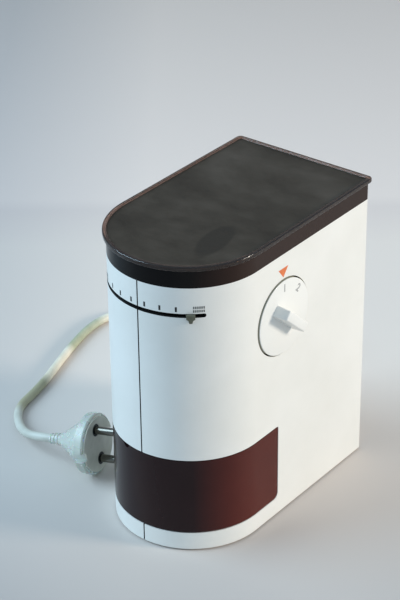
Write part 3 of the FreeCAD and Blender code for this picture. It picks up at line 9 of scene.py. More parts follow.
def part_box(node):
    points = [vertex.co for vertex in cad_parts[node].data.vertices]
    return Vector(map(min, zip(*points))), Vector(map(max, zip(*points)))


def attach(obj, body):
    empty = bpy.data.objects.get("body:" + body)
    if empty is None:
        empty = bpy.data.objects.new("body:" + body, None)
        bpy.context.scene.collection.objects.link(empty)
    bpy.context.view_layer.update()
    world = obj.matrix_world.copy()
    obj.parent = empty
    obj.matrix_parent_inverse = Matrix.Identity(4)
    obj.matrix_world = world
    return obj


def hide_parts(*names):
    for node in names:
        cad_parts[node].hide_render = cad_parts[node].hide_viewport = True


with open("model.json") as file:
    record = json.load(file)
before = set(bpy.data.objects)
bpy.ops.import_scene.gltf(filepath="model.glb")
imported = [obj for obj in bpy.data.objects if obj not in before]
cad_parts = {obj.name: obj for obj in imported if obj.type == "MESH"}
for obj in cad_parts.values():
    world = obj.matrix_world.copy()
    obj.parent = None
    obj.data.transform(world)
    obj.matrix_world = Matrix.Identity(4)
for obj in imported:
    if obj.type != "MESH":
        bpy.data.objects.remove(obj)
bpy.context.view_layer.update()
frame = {"nodes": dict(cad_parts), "record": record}
scene = bpy.context.scene
scene.view_settings.view_transform = "Standard"
print("frame loaded:", len(frame["nodes"]), "nodes")


def inScene(name, data):
    thing = bpy.data.objects.new(name, data)
    scene.collection.objects.link(thing)
    return thing


# camera, at the photograph's place
cameraView = {
    "place": (0.59064, -0.77549, 0.68086),
    "azimuth": 38.09,
    "pitch": 29.80,
    "roll": -0.688,
    "lens": 120.14,
    "sensor": 36.0,
    "farEnd": 10.0,
}


def makeCamera(v):
    data = bpy.data.cameras.new("camera")
    data.lens = v["lens"]
    data.sensor_width = v["sensor"]
    data.sensor_fit = "AUTO"
    data.clip_end = v["farEnd"]
    camera = inScene("camera", data)
    turn = Matrix.Rotation(math.radians(v["azimuth"]), 4, "Z")
    tilt = Matrix.Rotation(math.radians(90.0 - v["pitch"]), 4, "X")
    roll = Matrix.Rotation(math.radians(v["roll"]), 4, "Z")
    camera.matrix_world = Matrix.Translation(v["place"]) @ turn @ tilt @ roll
    scene.camera = camera


makeCamera(cameraView)
print("camera set")


# material nodes
class Finish:
    def __init__(self, name):
        self.material = bpy.data.materials.new(name)
        self.material.use_nodes = True
        self.tree = self.material.node_tree
        self.shader = self.tree.nodes["Principled BSDF"]
        self.place = self.tree.nodes.new("ShaderNodeTexCoord").outputs["Object"]

    def add(self, kind, **settings):
        node = self.tree.nodes.new(kind)
        for name, value in settings.items():
            setattr(node, name, value)
        return node

    def join(self, start, end):
        self.tree.links.new(start, end)

    def sockets(self, **values):
        for name, value in values.items():
            socket = self.shader.inputs[name.replace("_", " ")]
            socket.default_value = value

    def noise(self, scale, detail=4.0, roughness=0.5, stretch=None):
        node = self.add("ShaderNodeTexNoise")
        node.inputs["Scale"].default_value = scale
        node.inputs["Detail"].default_value = detail
        node.inputs["Roughness"].default_value = roughness
        if stretch:
            mapping = self.add("ShaderNodeMapping")
            mapping.inputs["Scale"].default_value = stretch
            self.join(self.place, mapping.inputs["Vector"])
            self.join(mapping.outputs["Vector"], node.inputs["Vector"])
        else:
            self.join(self.place, node.inputs["Vector"])
        return node.outputs["Fac"]

    def spread(self, value, low, high, start, end):
        node = self.add("ShaderNodeMapRange")
        ends = {"From Min": low, "From Max": high, "To Min": start, "To Max": end}
        for name, number in ends.items():
            node.inputs[name].default_value = number
        self.join(value, node.inputs["Value"])
        return node.outputs["Result"]

    def ramp(self, value, *stops):
        node = self.add("ShaderNodeValToRGB")
        bar = node.color_ramp
        while len(bar.elements) < len(stops):
            bar.elements.new(1.0)
        for element, (at, colour) in zip(bar.elements, stops):
            element.position = at
            element.color = (*colour, 1.0)
        self.join(value, node.inputs["Fac"])
        return node.outputs["Color"]

    def along(self, axis, low, high):
        # 0 to 1 along one axis of the frame
        split = self.add("ShaderNodeSeparateXYZ")
        self.join(self.place, split.inputs["Vector"])
        return self.spread(split.outputs[axis], low, high, 0.0, 1.0)

    def mix(self, share, first, second, how="MIX"):
        # the node's colours are its inputs 6 and 7 and its output 2
        node = self.add("ShaderNodeMix", data_type="RGBA", blend_type=how)
        self.join(share, node.inputs["Factor"])
        self.join(first, node.inputs[6])
        self.join(second, node.inputs[7])
        return node.outputs[2]

    def bump(self, value, height):
        node = self.add("ShaderNodeBump")
        node.inputs["Distance"].default_value = height
        self.join(value, node.inputs["Height"])
        self.join(node.outputs["Normal"], self.shader.inputs["Normal"])

    def colour(self, output):
        self.join(output, self.shader.inputs["Base Color"])

    def roughness(self, value, low, high, start=0.3, end=0.7):
        # uneven gloss, where a noise goes from start to end
        self.join(self.spread(value, start, end, low, high), self.shader.inputs["Roughness"])


# where colours change over the object: a painted glow on the smoked plastic, painted shade along
# the cord, and a thumb mark on the lid
looks = {
    "paintedGlowFrom": 0.028,
    "paintedGlowTo": 0.045,
    "cordShadeFrom": -0.05,
    "cordShadeTo": 0.15,
    "thumbPlace": (0.0205, -0.0345, 0.1815),
    "thumbTurn": 101.0,
    "thumbSize": (0.0205, 0.0085, 1.0),
}


def plastic(name, dark, light, rough, coat=0.0, cloud=18.0):
    # moulded plastic: two close tones in soft clouds, a fine skin and uneven gloss
    f = Finish(name)
    f.sockets(Coat_Weight=coat, Coat_Roughness=0.06)
    f.colour(f.ramp(f.noise(cloud, 5.0, 0.6), (0.35, dark), (0.65, light)))
    f.roughness(f.noise(cloud * 4, 6.0, 0.65), *rough)
    f.bump(f.noise(900.0, 3.0), 0.00002)
    return f.material


def smoked(name, deep, paintedGlow, grain, shine):
    # smoked clear plastic, nearly black at the front, with a painted glow: redder towards the right
    # side, where light comes in from the right
    f = Finish(name)
    f.sockets(Specular_IOR_Level=shine)
    side = f.ramp(f.along("X", looks["paintedGlowFrom"], looks["paintedGlowTo"]), (0.0, deep), (1.0, paintedGlow))
    clouds = f.ramp(f.noise(30.0, 5.0, 0.6), (0.3, (0.82, 0.82, 0.82)), (0.7, (1.0, 1.0, 1.0)))
    f.colour(f.mix(f.spread(f.noise(90.0), 0.2, 0.4, 0.5, 1.0), side, clouds, "MULTIPLY"))
    f.roughness(f.noise(70.0, 6.0, 0.65), 0.10, 0.20)
    f.bump(f.noise(grain, 3.0), 0.00002)
    return f.material


def metal(name, dark, light, rough, stretch=(1.0, 1.0, 1.0), coat=0.0):
    # turned, drawn or plated metal: fine lines across the axes with a large stretch
    f = Finish(name)
    f.sockets(Metallic=1.0, Coat_Weight=coat)
    f.colour(f.ramp(f.noise(60.0, 5.0, 0.6), (0.3, dark), (0.7, light)))
    brushed = f.noise(400.0, 4.0, 0.6, stretch)
    f.roughness(brushed, *rough)
    f.bump(brushed, 0.00001)
    return f.material


def layered(name, dark, light, rough, pitch, metallic=0.0):
    # stacked sheets or wound wire: fine bands across the height
    f = Finish(name)
    f.sockets(Metallic=metallic)
    wave = f.add("ShaderNodeTexWave", wave_type="BANDS", bands_direction="Z")
    wave.inputs["Scale"].default_value = pitch
    wave.inputs["Distortion"].default_value = 0.4
    f.join(f.place, wave.inputs["Vector"])
    f.colour(f.ramp(wave.outputs["Fac"], (0.2, dark), (0.7, light)))
    f.roughness(f.noise(120.0), *rough)
    f.bump(wave.outputs["Fac"], 0.0001)
    return f.material


def cordFinish():
    # cream cord with painted shade along it: greyer by the plug, then olive stretches of painted
    # shade and cream by turns, further back cream
    f = Finish("cordCream")
    tones = f.ramp(
        f.along("Y", looks["cordShadeFrom"], looks["cordShadeTo"]),
        (0.0, (0.62, 0.63, 0.57)), (0.13, (0.60, 0.60, 0.53)), (0.17, (0.42, 0.39, 0.26)),
        (0.31, (0.36, 0.34, 0.22)), (0.35, (0.86, 0.78, 0.62)), (0.50, (0.86, 0.79, 0.65)),
        (0.54, (0.42, 0.43, 0.28)), (0.70, (0.52, 0.54, 0.40)), (0.75, (0.86, 0.81, 0.68)))
    smears = f.ramp(f.noise(60.0, 5.0, 0.6), (0.35, (0.84, 0.84, 0.82)), (0.6, (1.0, 1.0, 1.0)))
    f.colour(f.mix(f.spread(f.noise(25.0), 0.2, 0.4, 0.5, 1.0), tones, smears, "MULTIPLY"))
    f.roughness(f.noise(120.0, 6.0, 0.65), 0.38, 0.55)
    f.bump(f.noise(500.0, 3.0), 0.00004)
    return f.material


finishes = {
    "casing_white": plastic("casingWhite", (0.80, 0.79, 0.745), (0.845, 0.835, 0.795), (0.30, 0.42),
                            coat=0.15),
    "dial_white": plastic("dialWhite", (0.83, 0.82, 0.78), (0.86, 0.855, 0.82), (0.28, 0.38),
                          coat=0.15),
    # painted shade for the side wall of the dial, in the gap round it
    "dial_edge": plastic("dialGapShade", (0.34, 0.325, 0.25), (0.41, 0.395, 0.31), (0.45, 0.6)),
    # the band and the drawer both carry the painted glow, redder towards the right
    "smoked_plastic": smoked("smokedBand", (0.003, 0.002, 0.002), (0.030, 0.015, 0.011),
                             900.0, 0.175),
    "drawer_burgundy": smoked("drawerBurgundy", (0.017, 0.005, 0.006), (0.092, 0.014, 0.009),
                              260.0, 0.24),
    "black_plastic": plastic("blackPlastic", (0.012, 0.012, 0.012), (0.022, 0.022, 0.022),
                             (0.45, 0.6)),
    "grey_plastic": plastic("greyPlastic", (0.13, 0.135, 0.135), (0.17, 0.175, 0.175), (0.45, 0.6)),
    "natural_nylon": plastic("nylon", (0.62, 0.58, 0.44), (0.72, 0.69, 0.56), (0.35, 0.5),
                             cloud=40.0),
    "slider_olive": plastic("sliderOlive", (0.085, 0.087, 0.058), (0.12, 0.122, 0.085), (0.35, 0.5),
                            cloud=160.0),
    "phenolic_brown": layered("phenolicBoard", (0.055, 0.025, 0.014), (0.085, 0.038, 0.02),
                              (0.4, 0.55), 900.0),
    "cord_cream": cordFinish(),
    "plug_grey": plastic("plugGrey", (0.60, 0.585, 0.50), (0.74, 0.72, 0.63), (0.4, 0.55),
                         cloud=90.0),
    "carbon": plastic("carbon", (0.02, 0.02, 0.02), (0.04, 0.04, 0.04), (0.55, 0.7)),
    "burr_steel": metal("burrSteel", (0.36, 0.36, 0.37), (0.52, 0.52, 0.53), (0.3, 0.5)),
    "bright_steel": metal("brightSteel", (0.55, 0.55, 0.56), (0.68, 0.68, 0.69), (0.15, 0.3),
                          stretch=(1.0, 1.0, 12.0)),
    "zinc_steel": metal("zincSteel", (0.42, 0.43, 0.42), (0.58, 0.59, 0.57), (0.3, 0.5)),
    "pin_nickel": metal("pinNickel", (0.12, 0.115, 0.095), (0.20, 0.19, 0.165), (0.14, 0.22),
                        stretch=(1.0, 14.0, 14.0), coat=0.6),
    "bronze": metal("bronze", (0.34, 0.20, 0.08), (0.46, 0.30, 0.13), (0.4, 0.55)),
    "iron_laminations": layered("ironSheets", (0.03, 0.03, 0.032), (0.10, 0.10, 0.10), (0.4, 0.6),
                                1000.0, 0.8),
    "copper_wire": layered("copperWire", (0.20, 0.06, 0.02), (0.52, 0.20, 0.07), (0.25, 0.4),
                           700.0, 0.9),
}


def lidPanelFinish():
    # dusty smoked plastic: matte, with pale smears and an oval wiped by a thumb
    f = Finish("lidPanel")
    smears = f.noise(22.0, 8.0, 0.62, (1.0, 1.4, 1.0))
    f.sockets(Specular_IOR_Level=0.2)
    dust = f.ramp(smears, (0.34, (0.020, 0.015, 0.010)), (0.50, (0.042, 0.033, 0.024)),
                  (0.66, (0.069, 0.055, 0.043)))
    mapping = f.add("ShaderNodeMapping", vector_type="TEXTURE")
    mapping.inputs["Location"].default_value = looks["thumbPlace"]
    mapping.inputs["Rotation"].default_value = (0.0, 0.0, math.radians(looks["thumbTurn"]))
    mapping.inputs["Scale"].default_value = looks["thumbSize"]
    f.join(f.place, mapping.inputs["Vector"])
    thumb = f.add("ShaderNodeTexGradient", gradient_type="SPHERICAL")
    f.join(mapping.outputs["Vector"], thumb.inputs["Vector"])
    wiped = f.ramp(smears, (0.34, (0.019, 0.015, 0.011)), (0.66, (0.034, 0.027, 0.020)))
    f.colour(f.mix(f.spread(thumb.outputs["Fac"], 0.02, 0.2, 0.0, 1.0), dust, wiped))
    f.roughness(smears, 0.34, 0.58, 0.35, 0.65)
    f.bump(f.noise(1100.0, 3.0), 0.00003)
    return f.material


def lidRimFinish():
    # clear smoked plastic, brown where light comes through
    f = Finish("lidRim")
    f.sockets(Transmission_Weight=0.92, IOR=1.49, Specular_IOR_Level=0.3)
    f.colour(f.ramp(f.noise(40.0, 4.0), (0.35, (0.22, 0.125, 0.092)), (0.65, (0.31, 0.185, 0.145))))
    f.roughness(f.noise(90.0, 5.0), 0.08, 0.2)
    return f.material


def plugFinish():
    # cloudy clear plastic
    f = Finish("plugClear")
    f.sockets(Transmission_Weight=0.45, IOR=1.49, Subsurface_Weight=0.3, Subsurface_Scale=0.004)
    f.colour(f.ramp(f.noise(45.0, 5.0), (0.3, (0.72, 0.78, 0.71)), (0.7, (0.88, 0.92, 0.86))))
    f.roughness(f.noise(120.0, 4.0), 0.18, 0.34)
    f.bump(f.noise(300.0, 3.0), 0.00004)
    return f.material


def printFinish(name, colour, rough):
    # printing ink, a little worn
    f = Finish(name)
    edge = tuple(c * 0.85 for c in colour)
    f.colour(f.ramp(f.noise(300.0, 4.0), (0.3, edge), (0.7, colour)))
    f.roughness(f.noise(200.0), rough, rough + 0.15)
    return f.material


finishes["lid_plastic"] = lidPanelFinish()
finishes["plug_clear"] = plugFinish()
lidRim = lidRimFinish()
printBlack = printFinish("printBlack", (0.012, 0.012, 0.012), 0.4)
printGrey = printFinish("printGrey", (0.16, 0.16, 0.15), 0.4)
printPale = printFinish("printPale", (0.46, 0.46, 0.45), 0.4)
printOrange = printFinish("printOrange", (0.82, 0.20, 0.055), 0.35)

slotOfNode = {part["node"]: part["material_slot"] for part in frame["record"]["subparts"]}
for node, slot in slotOfNode.items():
    thing = bpy.data.objects[node]
    thing.data.materials.clear()
    thing.data.materials.append(finishes[slot])
print("finishes made:", len(finishes))


# cord: out of the back, a flat coil behind the grinder, then round its left side to the plug
cord = {
    "radius": 0.0027,
    "lead": [(-0.015, 0.1005, 0.012), (-0.015, 0.1095, 0.012), (-0.0154, 0.1215, 0.0092),
             (-0.018, 0.1335, 0.0046), (-0.024241, 0.145859, 0.0027)],
    "coilCentre": (-0.062, 0.132),
    "coilStart": 45.0,
    "outerRadius": 0.0365,
    "stepPerQuarter": 0.00165,
    "quartersIn": 8,
    "quartersUp": 2,
    "quartersOut": 7,
    "pointsPerQuarter": 4,
    "lowHeight": 0.0027,
    "highHeight": 0.0091,
    "run": [(-0.098593, 0.144692, 0.0091), (-0.1102, 0.1372, 0.0062), (-0.124, 0.1333, 0.0038),
            (-0.1395, 0.1315, 0.0028), (-0.1555, 0.1265, 0.0027), (-0.169, 0.1165, 0.0027),
            (-0.1765, 0.101, 0.0027), (-0.1763, 0.0824, 0.0027), (-0.171, 0.0612, 0.0027),
            (-0.1636, 0.0384, 0.0027), (-0.1555, 0.0158, 0.0027), (-0.1512, -0.0019, 0.0027),
            (-0.1488, -0.015, 0.0027), (-0.142, -0.0258, 0.0029), (-0.1312, -0.0352, 0.0046),
            (-0.1188, -0.0434, 0.0089), (-0.107883, -0.046615, 0.012553),
            (-0.096758, -0.044311, 0.014332)],
    "length": 1.131,
    "order": 3,
    "segments": 12,
    "roundness": 5,
}


def coilPoints(v):
    quarters = v["quartersIn"] + v["quartersUp"] + v["quartersOut"]
    points = []
    for i in range(quarters * v["pointsPerQuarter"] + 1):
        turn = i / v["pointsPerQuarter"]
        climb = min(1.0, max(0.0, (turn - v["quartersIn"]) / v["quartersUp"]))
        inward = min(turn, v["quartersIn"]) - max(0.0, turn - v["quartersIn"] - v["quartersUp"])
        radius = v["outerRadius"] - v["stepPerQuarter"] * inward
        angle = math.radians(v["coilStart"] + 90.0 * turn)
        height = v["lowHeight"] + climb * (v["highHeight"] - v["lowHeight"])
        points.append((v["coilCentre"][0] + radius * math.cos(angle),
                       v["coilCentre"][1] + radius * math.sin(angle), height))
    return points


def makeCord(v):
    curve = bpy.data.curves.new("cord", "CURVE")
    curve.dimensions = "3D"
    curve.bevel_depth = v["radius"]
    curve.bevel_resolution = v["roundness"]
    curve.use_fill_caps = True
    points = v["lead"] + coilPoints(v) + v["run"]
    line = curve.splines.new("NURBS")
    line.points.add(len(points) - 1)
    for spot, place in zip(line.points, points):
        spot.co = (*place, 1.0)
    line.order_u = v["order"]
    line.use_endpoint_u = True
    line.resolution_u = v["segments"]
    curve.materials.append(finishes["cord_cream"])
    piece = inScene("cord", curve)
    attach(piece, "casing")
    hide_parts("cord_lead", "cord_coil", "cord_run")
    return piece


mainsCord = makeCord(cord)
print("cord laid")


# the body's outline, which the casing, the drawer, the hopper and the lid share
body = {
    "half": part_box("casing_right")[1][0],
    "front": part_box("casing_right")[0][1],
    "rear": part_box("casing_right")[1][1],
    "low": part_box("casing_right")[0][2],
    "high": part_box("casing_right")[1][2],
    "wall": 0.0025,
    "corner": 0.0012,
    "frontSteps": 72,
    "cornerSteps": 6,
    "overrun": 0.006,
    "merge": 0.000001,
    "weld": 0.000002,
    "level": 0.00001,
    "bevel": 0.0003,
    "bevelSteps": 2,
    "sharpAngle": 32.0,
    "turnSteps": 96,
    "rodSteps": 48,
}
arcY = body["front"] + body["half"]
cutStart = body["half"] - body["wall"] - body["overrun"]
cutEnd = body["half"] + body["overrun"]


def picked(geom, kind):
    # the vertices, edges or faces of an operator's result
    return [part for part in geom if isinstance(part, kind)]


def stepAlong(bm, vert, move):
    moved = bmesh.ops.extrude_vert_indiv(bm, verts=[vert])["verts"]
    bmesh.ops.translate(bm, verts=moved, vec=move)
    return moved[0]


def turnAbout(bm, vert, centre, angle, steps, axis=(0, 0, 1)):
    turned = bmesh.ops.spin(bm, geom=[vert], cent=centre, axis=axis, angle=angle, steps=steps)
    return picked(turned["geom_last"], bmesh.types.BMVert)[0]


def planLoop(bm, inset, z, bend=body["corner"]):
    # half circle at the front, rounded corners at the rear
    side = body["half"] - inset
    back = body["rear"] - inset
    known = set(bm.edges)
    start = bm.verts.new((side, arcY, z))
    here = turnAbout(bm, start, (0, arcY, z), -math.pi, body["frontSteps"])
    here = stepAlong(bm, here, (0, back - bend - arcY, 0))
    here = turnAbout(bm, here, (bend - side, back - bend, z), -math.pi / 2, body["cornerSteps"])
    here = stepAlong(bm, here, (2 * (side - bend), 0, 0))
    here = turnAbout(bm, here, (side - bend, back - bend, z), -math.pi / 2, body["cornerSteps"])
    bm.edges.new((here, start))
    return [edge for edge in bm.edges if edge not in known]


def frontLoop(bm, inset, back, z):
    # half circle at the front, cut off square at the back
    side = body["half"] - inset
    known = set(bm.edges)
    start = bm.verts.new((side, arcY, z))
    here = turnAbout(bm, start, (0, arcY, z), -math.pi, body["frontSteps"])
    here = stepAlong(bm, here, (0, back - arcY, 0))
    here = stepAlong(bm, here, (2 * side, 0, 0))
    bm.edges.new((here, start))
    return [edge for edge in bm.edges if edge not in known]


def raiseLoop(bm, loop, move):
    extruded = bmesh.ops.extrude_edge_only(bm, edges=loop)["geom"]
    bmesh.ops.translate(bm, verts=picked(extruded, bmesh.types.BMVert), vec=move)
    faces = set(picked(extruded, bmesh.types.BMFace))
    return [edge for edge in picked(extruded, bmesh.types.BMEdge)
            if len(faces.intersection(edge.link_faces)) == 1 and edge not in loop]


def prism(bm, loop, move):
    # a closed block from a loop of edges
    top = raiseLoop(bm, loop, move)
    bmesh.ops.contextual_create(bm, geom=loop)
    bmesh.ops.contextual_create(bm, geom=top)


def thicken(bm, faces, height):
    # raises a copy of level faces, with walls between the two
    extruded = bmesh.ops.extrude_face_region(bm, geom=faces, use_keep_orig=True)["geom"]
    bmesh.ops.translate(bm, verts=picked(extruded, bmesh.types.BMVert), vec=(0, 0, height))


def ringWall(bm, inset, wall, low, high):
    # a closed wall that follows the outline
    loops = planLoop(bm, inset, low) + planLoop(bm, inset + wall, low)
    filled = bmesh.ops.triangle_fill(bm, edges=loops, use_beauty=True)["geom"]
    thicken(bm, picked(filled, bmesh.types.BMFace), high - low)


def chain(bm, points, closed=False):
    verts = [bm.verts.new(point) for point in points]
    after = verts[1:] + verts[:1] if closed else verts[1:]
    return verts, [bm.edges.new(pair) for pair in zip(verts, after)]


def turnedShape(bm, profile, centre=(0, 0, 0), steps=body["turnSteps"]):
    # a full turn of an open profile whose ends lie on the upright axis, or of a closed one
    verts, edges = chain(bm, profile)
    known = set(bm.verts) - set(verts)
    bmesh.ops.spin(bm, geom=verts + edges, cent=centre, axis=(0, 0, 1), angle=2 * math.pi,
                   steps=steps, use_merge=True)
    made = [vert for vert in bm.verts if vert not in known]
    bmesh.ops.remove_doubles(bm, verts=made, dist=body["merge"])


def box(bm, low, high):
    cube = bmesh.ops.create_cube(bm, size=1.0)["verts"]
    size = [b - a for a, b in zip(low, high)]
    bmesh.ops.scale(bm, verts=cube, vec=size)
    bmesh.ops.translate(bm, verts=cube, vec=[(a + b) / 2 for a, b in zip(low, high)])
    return cube


def rod(bm, radius, start, end, steps=body["rodSteps"]):
    start, end = Vector(start), Vector(end)
    way = end - start
    turn = way.to_track_quat("Z", "Y").to_matrix().to_4x4()
    middle = Matrix.Translation((start + end) / 2)
    bmesh.ops.create_cone(bm, cap_ends=True, segments=steps, radius1=radius, radius2=radius,
                          depth=way.length, matrix=middle @ turn)


def frontRod(bm, radius, angle, z, start, steps):
    # a rod out through the round front, square to it
    way = Vector((math.sin(angle), -math.cos(angle), 0))
    centre = Vector((0, arcY, z))
    rod(bm, radius, centre + way * start, centre + way * cutEnd, steps)


def roundEdges(bm, edges, size, steps):
    bmesh.ops.bevel(bm, geom=edges, offset=size, affect="EDGES", segments=steps, profile=0.5,
                    material=-1)


def moveAll(bm, matrix):
    bmesh.ops.transform(bm, verts=bm.verts, matrix=matrix)


def outward(bm):
    bmesh.ops.recalc_face_normals(bm, faces=bm.faces)


def asMesh(bm, name):
    mesh = bpy.data.meshes.new(name)
    bm.to_mesh(mesh)
    bm.free()
    return mesh


def addTo(bm, other):
    # moves one shape into another
    spare = asMesh(other, "spare")
    bm.from_mesh(spare)
    bpy.data.meshes.remove(spare)


def combine(base, tool, how):
    outward(base)
    outward(tool)
    target = inScene("target", asMesh(base, "target"))
    other = inScene("other", asMesh(tool, "other"))
    modifier = target.modifiers.new("combine", "BOOLEAN")
    modifier.operation = how
    modifier.solver = "EXACT"
    modifier.object = other
    graph = bpy.context.evaluated_depsgraph_get()
    mesh = bpy.data.meshes.new_from_object(target.evaluated_get(graph))
    result = bmesh.new()
    result.from_mesh(mesh)
    for spare in (target.data, other.data, mesh):
        bpy.data.meshes.remove(spare)
    bmesh.ops.remove_doubles(result, verts=result.verts, dist=body["weld"])
    bmesh.ops.dissolve_degenerate(result, dist=body["weld"], edges=result.edges)
    return result


def keepPiece(bm, name, rider, slot, nodes=(), bevel=0.0, materials=None):
    piece = inScene(name, asMesh(bm, name))
    for material in materials or [finishes[slot]]:
        piece.data.materials.append(material)
    piece.data.shade_smooth()
    piece.data.set_sharp_from_angle(angle=math.radians(body["sharpAngle"]))
    if bevel:
        rounding = piece.modifiers.new("edges", "BEVEL")
        rounding.width = bevel
        rounding.segments = body["bevelSteps"]
        rounding.limit_method = "ANGLE"
        rounding.angle_limit = math.radians(body["sharpAngle"])
        rounding.harden_normals = True
        weighted = piece.modifiers.new("normals", "WEIGHTED_NORMAL")
        weighted.keep_sharp = True
    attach(piece, rider)
    if nodes:
        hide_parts(*nodes)
    return piece


# drawer, wrapped round the front
drawer = {
    "low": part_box("drawer")[0][2],
    "high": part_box("drawer")[1][2],
    "back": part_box("drawer")[1][1],
    "wall": 0.0024,
    "heel": 0.0035,
    "shoulder": 0.001,
    "gap": 0.0005,
    "arcSteps": 8,
    "notchAngle": -16.0,
    "notchRadius": 0.0022,
    "notchSteps": 32,
}


def drawerProfile(bm, v, gap, x):
    # side view of the drawer, grown by a gap at the back, above and below
    back = v["back"] + gap
    low = v["low"] - gap
    high = v["high"] + gap
    heel = v["heel"] + gap
    shoulder = v["shoulder"] + gap
    frontY = body["front"] - body["overrun"]
    known = set(bm.edges)
    start = bm.verts.new((x, frontY, low))
    here = stepAlong(bm, start, (0, back - heel - frontY, 0))
    here = turnAbout(bm, here, (x, back - heel, low + heel), math.pi / 2, v["arcSteps"], (1, 0, 0))
    here = stepAlong(bm, here, (0, 0, high - shoulder - low - heel))
    here = turnAbout(bm, here, (x, back - shoulder, high - shoulder), math.pi / 2, v["arcSteps"],
                     (1, 0, 0))
    here = stepAlong(bm, here, (0, frontY - back + shoulder, 0))
    bm.edges.new((here, start))
    return [edge for edge in bm.edges if edge not in known]


def makeDrawer(v):
    block = bmesh.new()
    prism(block, frontLoop(block, 0, v["back"], v["low"]), (0, 0, v["high"] - v["low"]))
    sideView = bmesh.new()
    prism(sideView, drawerProfile(sideView, v, 0, -cutEnd), (2 * cutEnd, 0, 0))
    block = combine(block, sideView, "INTERSECT")
    hollow = bmesh.new()
    floor = v["low"] + v["wall"]
    prism(hollow, frontLoop(hollow, v["wall"], v["back"] - v["wall"], floor),
          (0, 0, v["high"] - v["low"]))
    block = combine(block, hollow, "DIFFERENCE")
    notch = bmesh.new()
    frontRod(notch, v["notchRadius"], math.radians(v["notchAngle"]), v["high"],
             body["half"] - body["overrun"], v["notchSteps"])
    block = combine(block, notch, "DIFFERENCE")
    keepPiece(block, "drawer_cup", "grounds_drawer", "drawer_burgundy", ["drawer"], body["bevel"])


makeDrawer(drawer)
print("drawer made")


# casing: a shell in two halves, with the drawer's bay, the slot, the dial's hole and the vents
casing = {
    "seam": 0.0004,
    "shelfLedge": 0.0626,
    "deckLedge": 0.100,
    "coverLedge": 0.1123,
    "ledgeReach": 0.002,
    "ledgeRise": 0.002,
    "bossRadius": 0.0045,
    "bossInset": 0.0065,
    "bossHeights": (0.040, 0.150),
    "postRadius": 0.0045,
    "postPlaces": ((0.0385, 0.066), (0.0275, -0.0575)),
    "postTop": 0.0118,
    "baseTop": 0.0037,
    "screwRadius": 0.0015,
    "screwEnd": 0.022,
    "smallSteps": 24,
    "headRadius": 0.0035,
    "headDepth": 0.005,
    "slotHeight": 0.0024,
    "slotAngle": 97.4,
    "slotEndAngle": 1.15,
    "slotSteps": 72,
    "shadeMargin": 0.0001,
    "dialHole": 0.0233,
    "dialSteps": 96,
    "chuteHalf": 0.0092,
    "chuteFront": -0.0716,
    "chuteRear": -0.0625,
    "cordX": -0.015,
    "cordZ": 0.012,
    "cordRadius": 0.005,
    "ventRows": 6,
    "ventLow": 0.062,
    "ventPitch": 0.006,
    "ventHeight": 0.002,
    "ventReach": (0.008, 0.034),
}
slotZ = 0.1525
slotHalf = math.radians(casing["slotAngle"] / 2 - casing["slotEndAngle"])
dialY, dialZ = [(low + high) / 2 for low, high in zip(*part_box("timer_dial"))][1:]


def slotCutter(bm, v):
    # a sector of a ring through the front wall
    rise = v["slotHeight"] / 2
    turn = Matrix.Rotation(-slotHalf, 3, "Z")
    corners = [Vector((0, -radius, z)) for radius, z in
               ((cutStart, -rise), (cutEnd, -rise), (cutEnd, rise), (cutStart, rise))]
    place = Vector((0, arcY, slotZ))
    edges = chain(bm, [place + turn @ corner for corner in corners], closed=True)[1]
    bmesh.ops.contextual_create(bm, geom=edges)
    face = list(bm.faces)[-1]
    bmesh.ops.spin(bm, geom=[face] + list(face.edges) + list(face.verts), cent=place,
                   axis=(0, 0, 1), angle=2 * slotHalf, steps=v["slotSteps"])


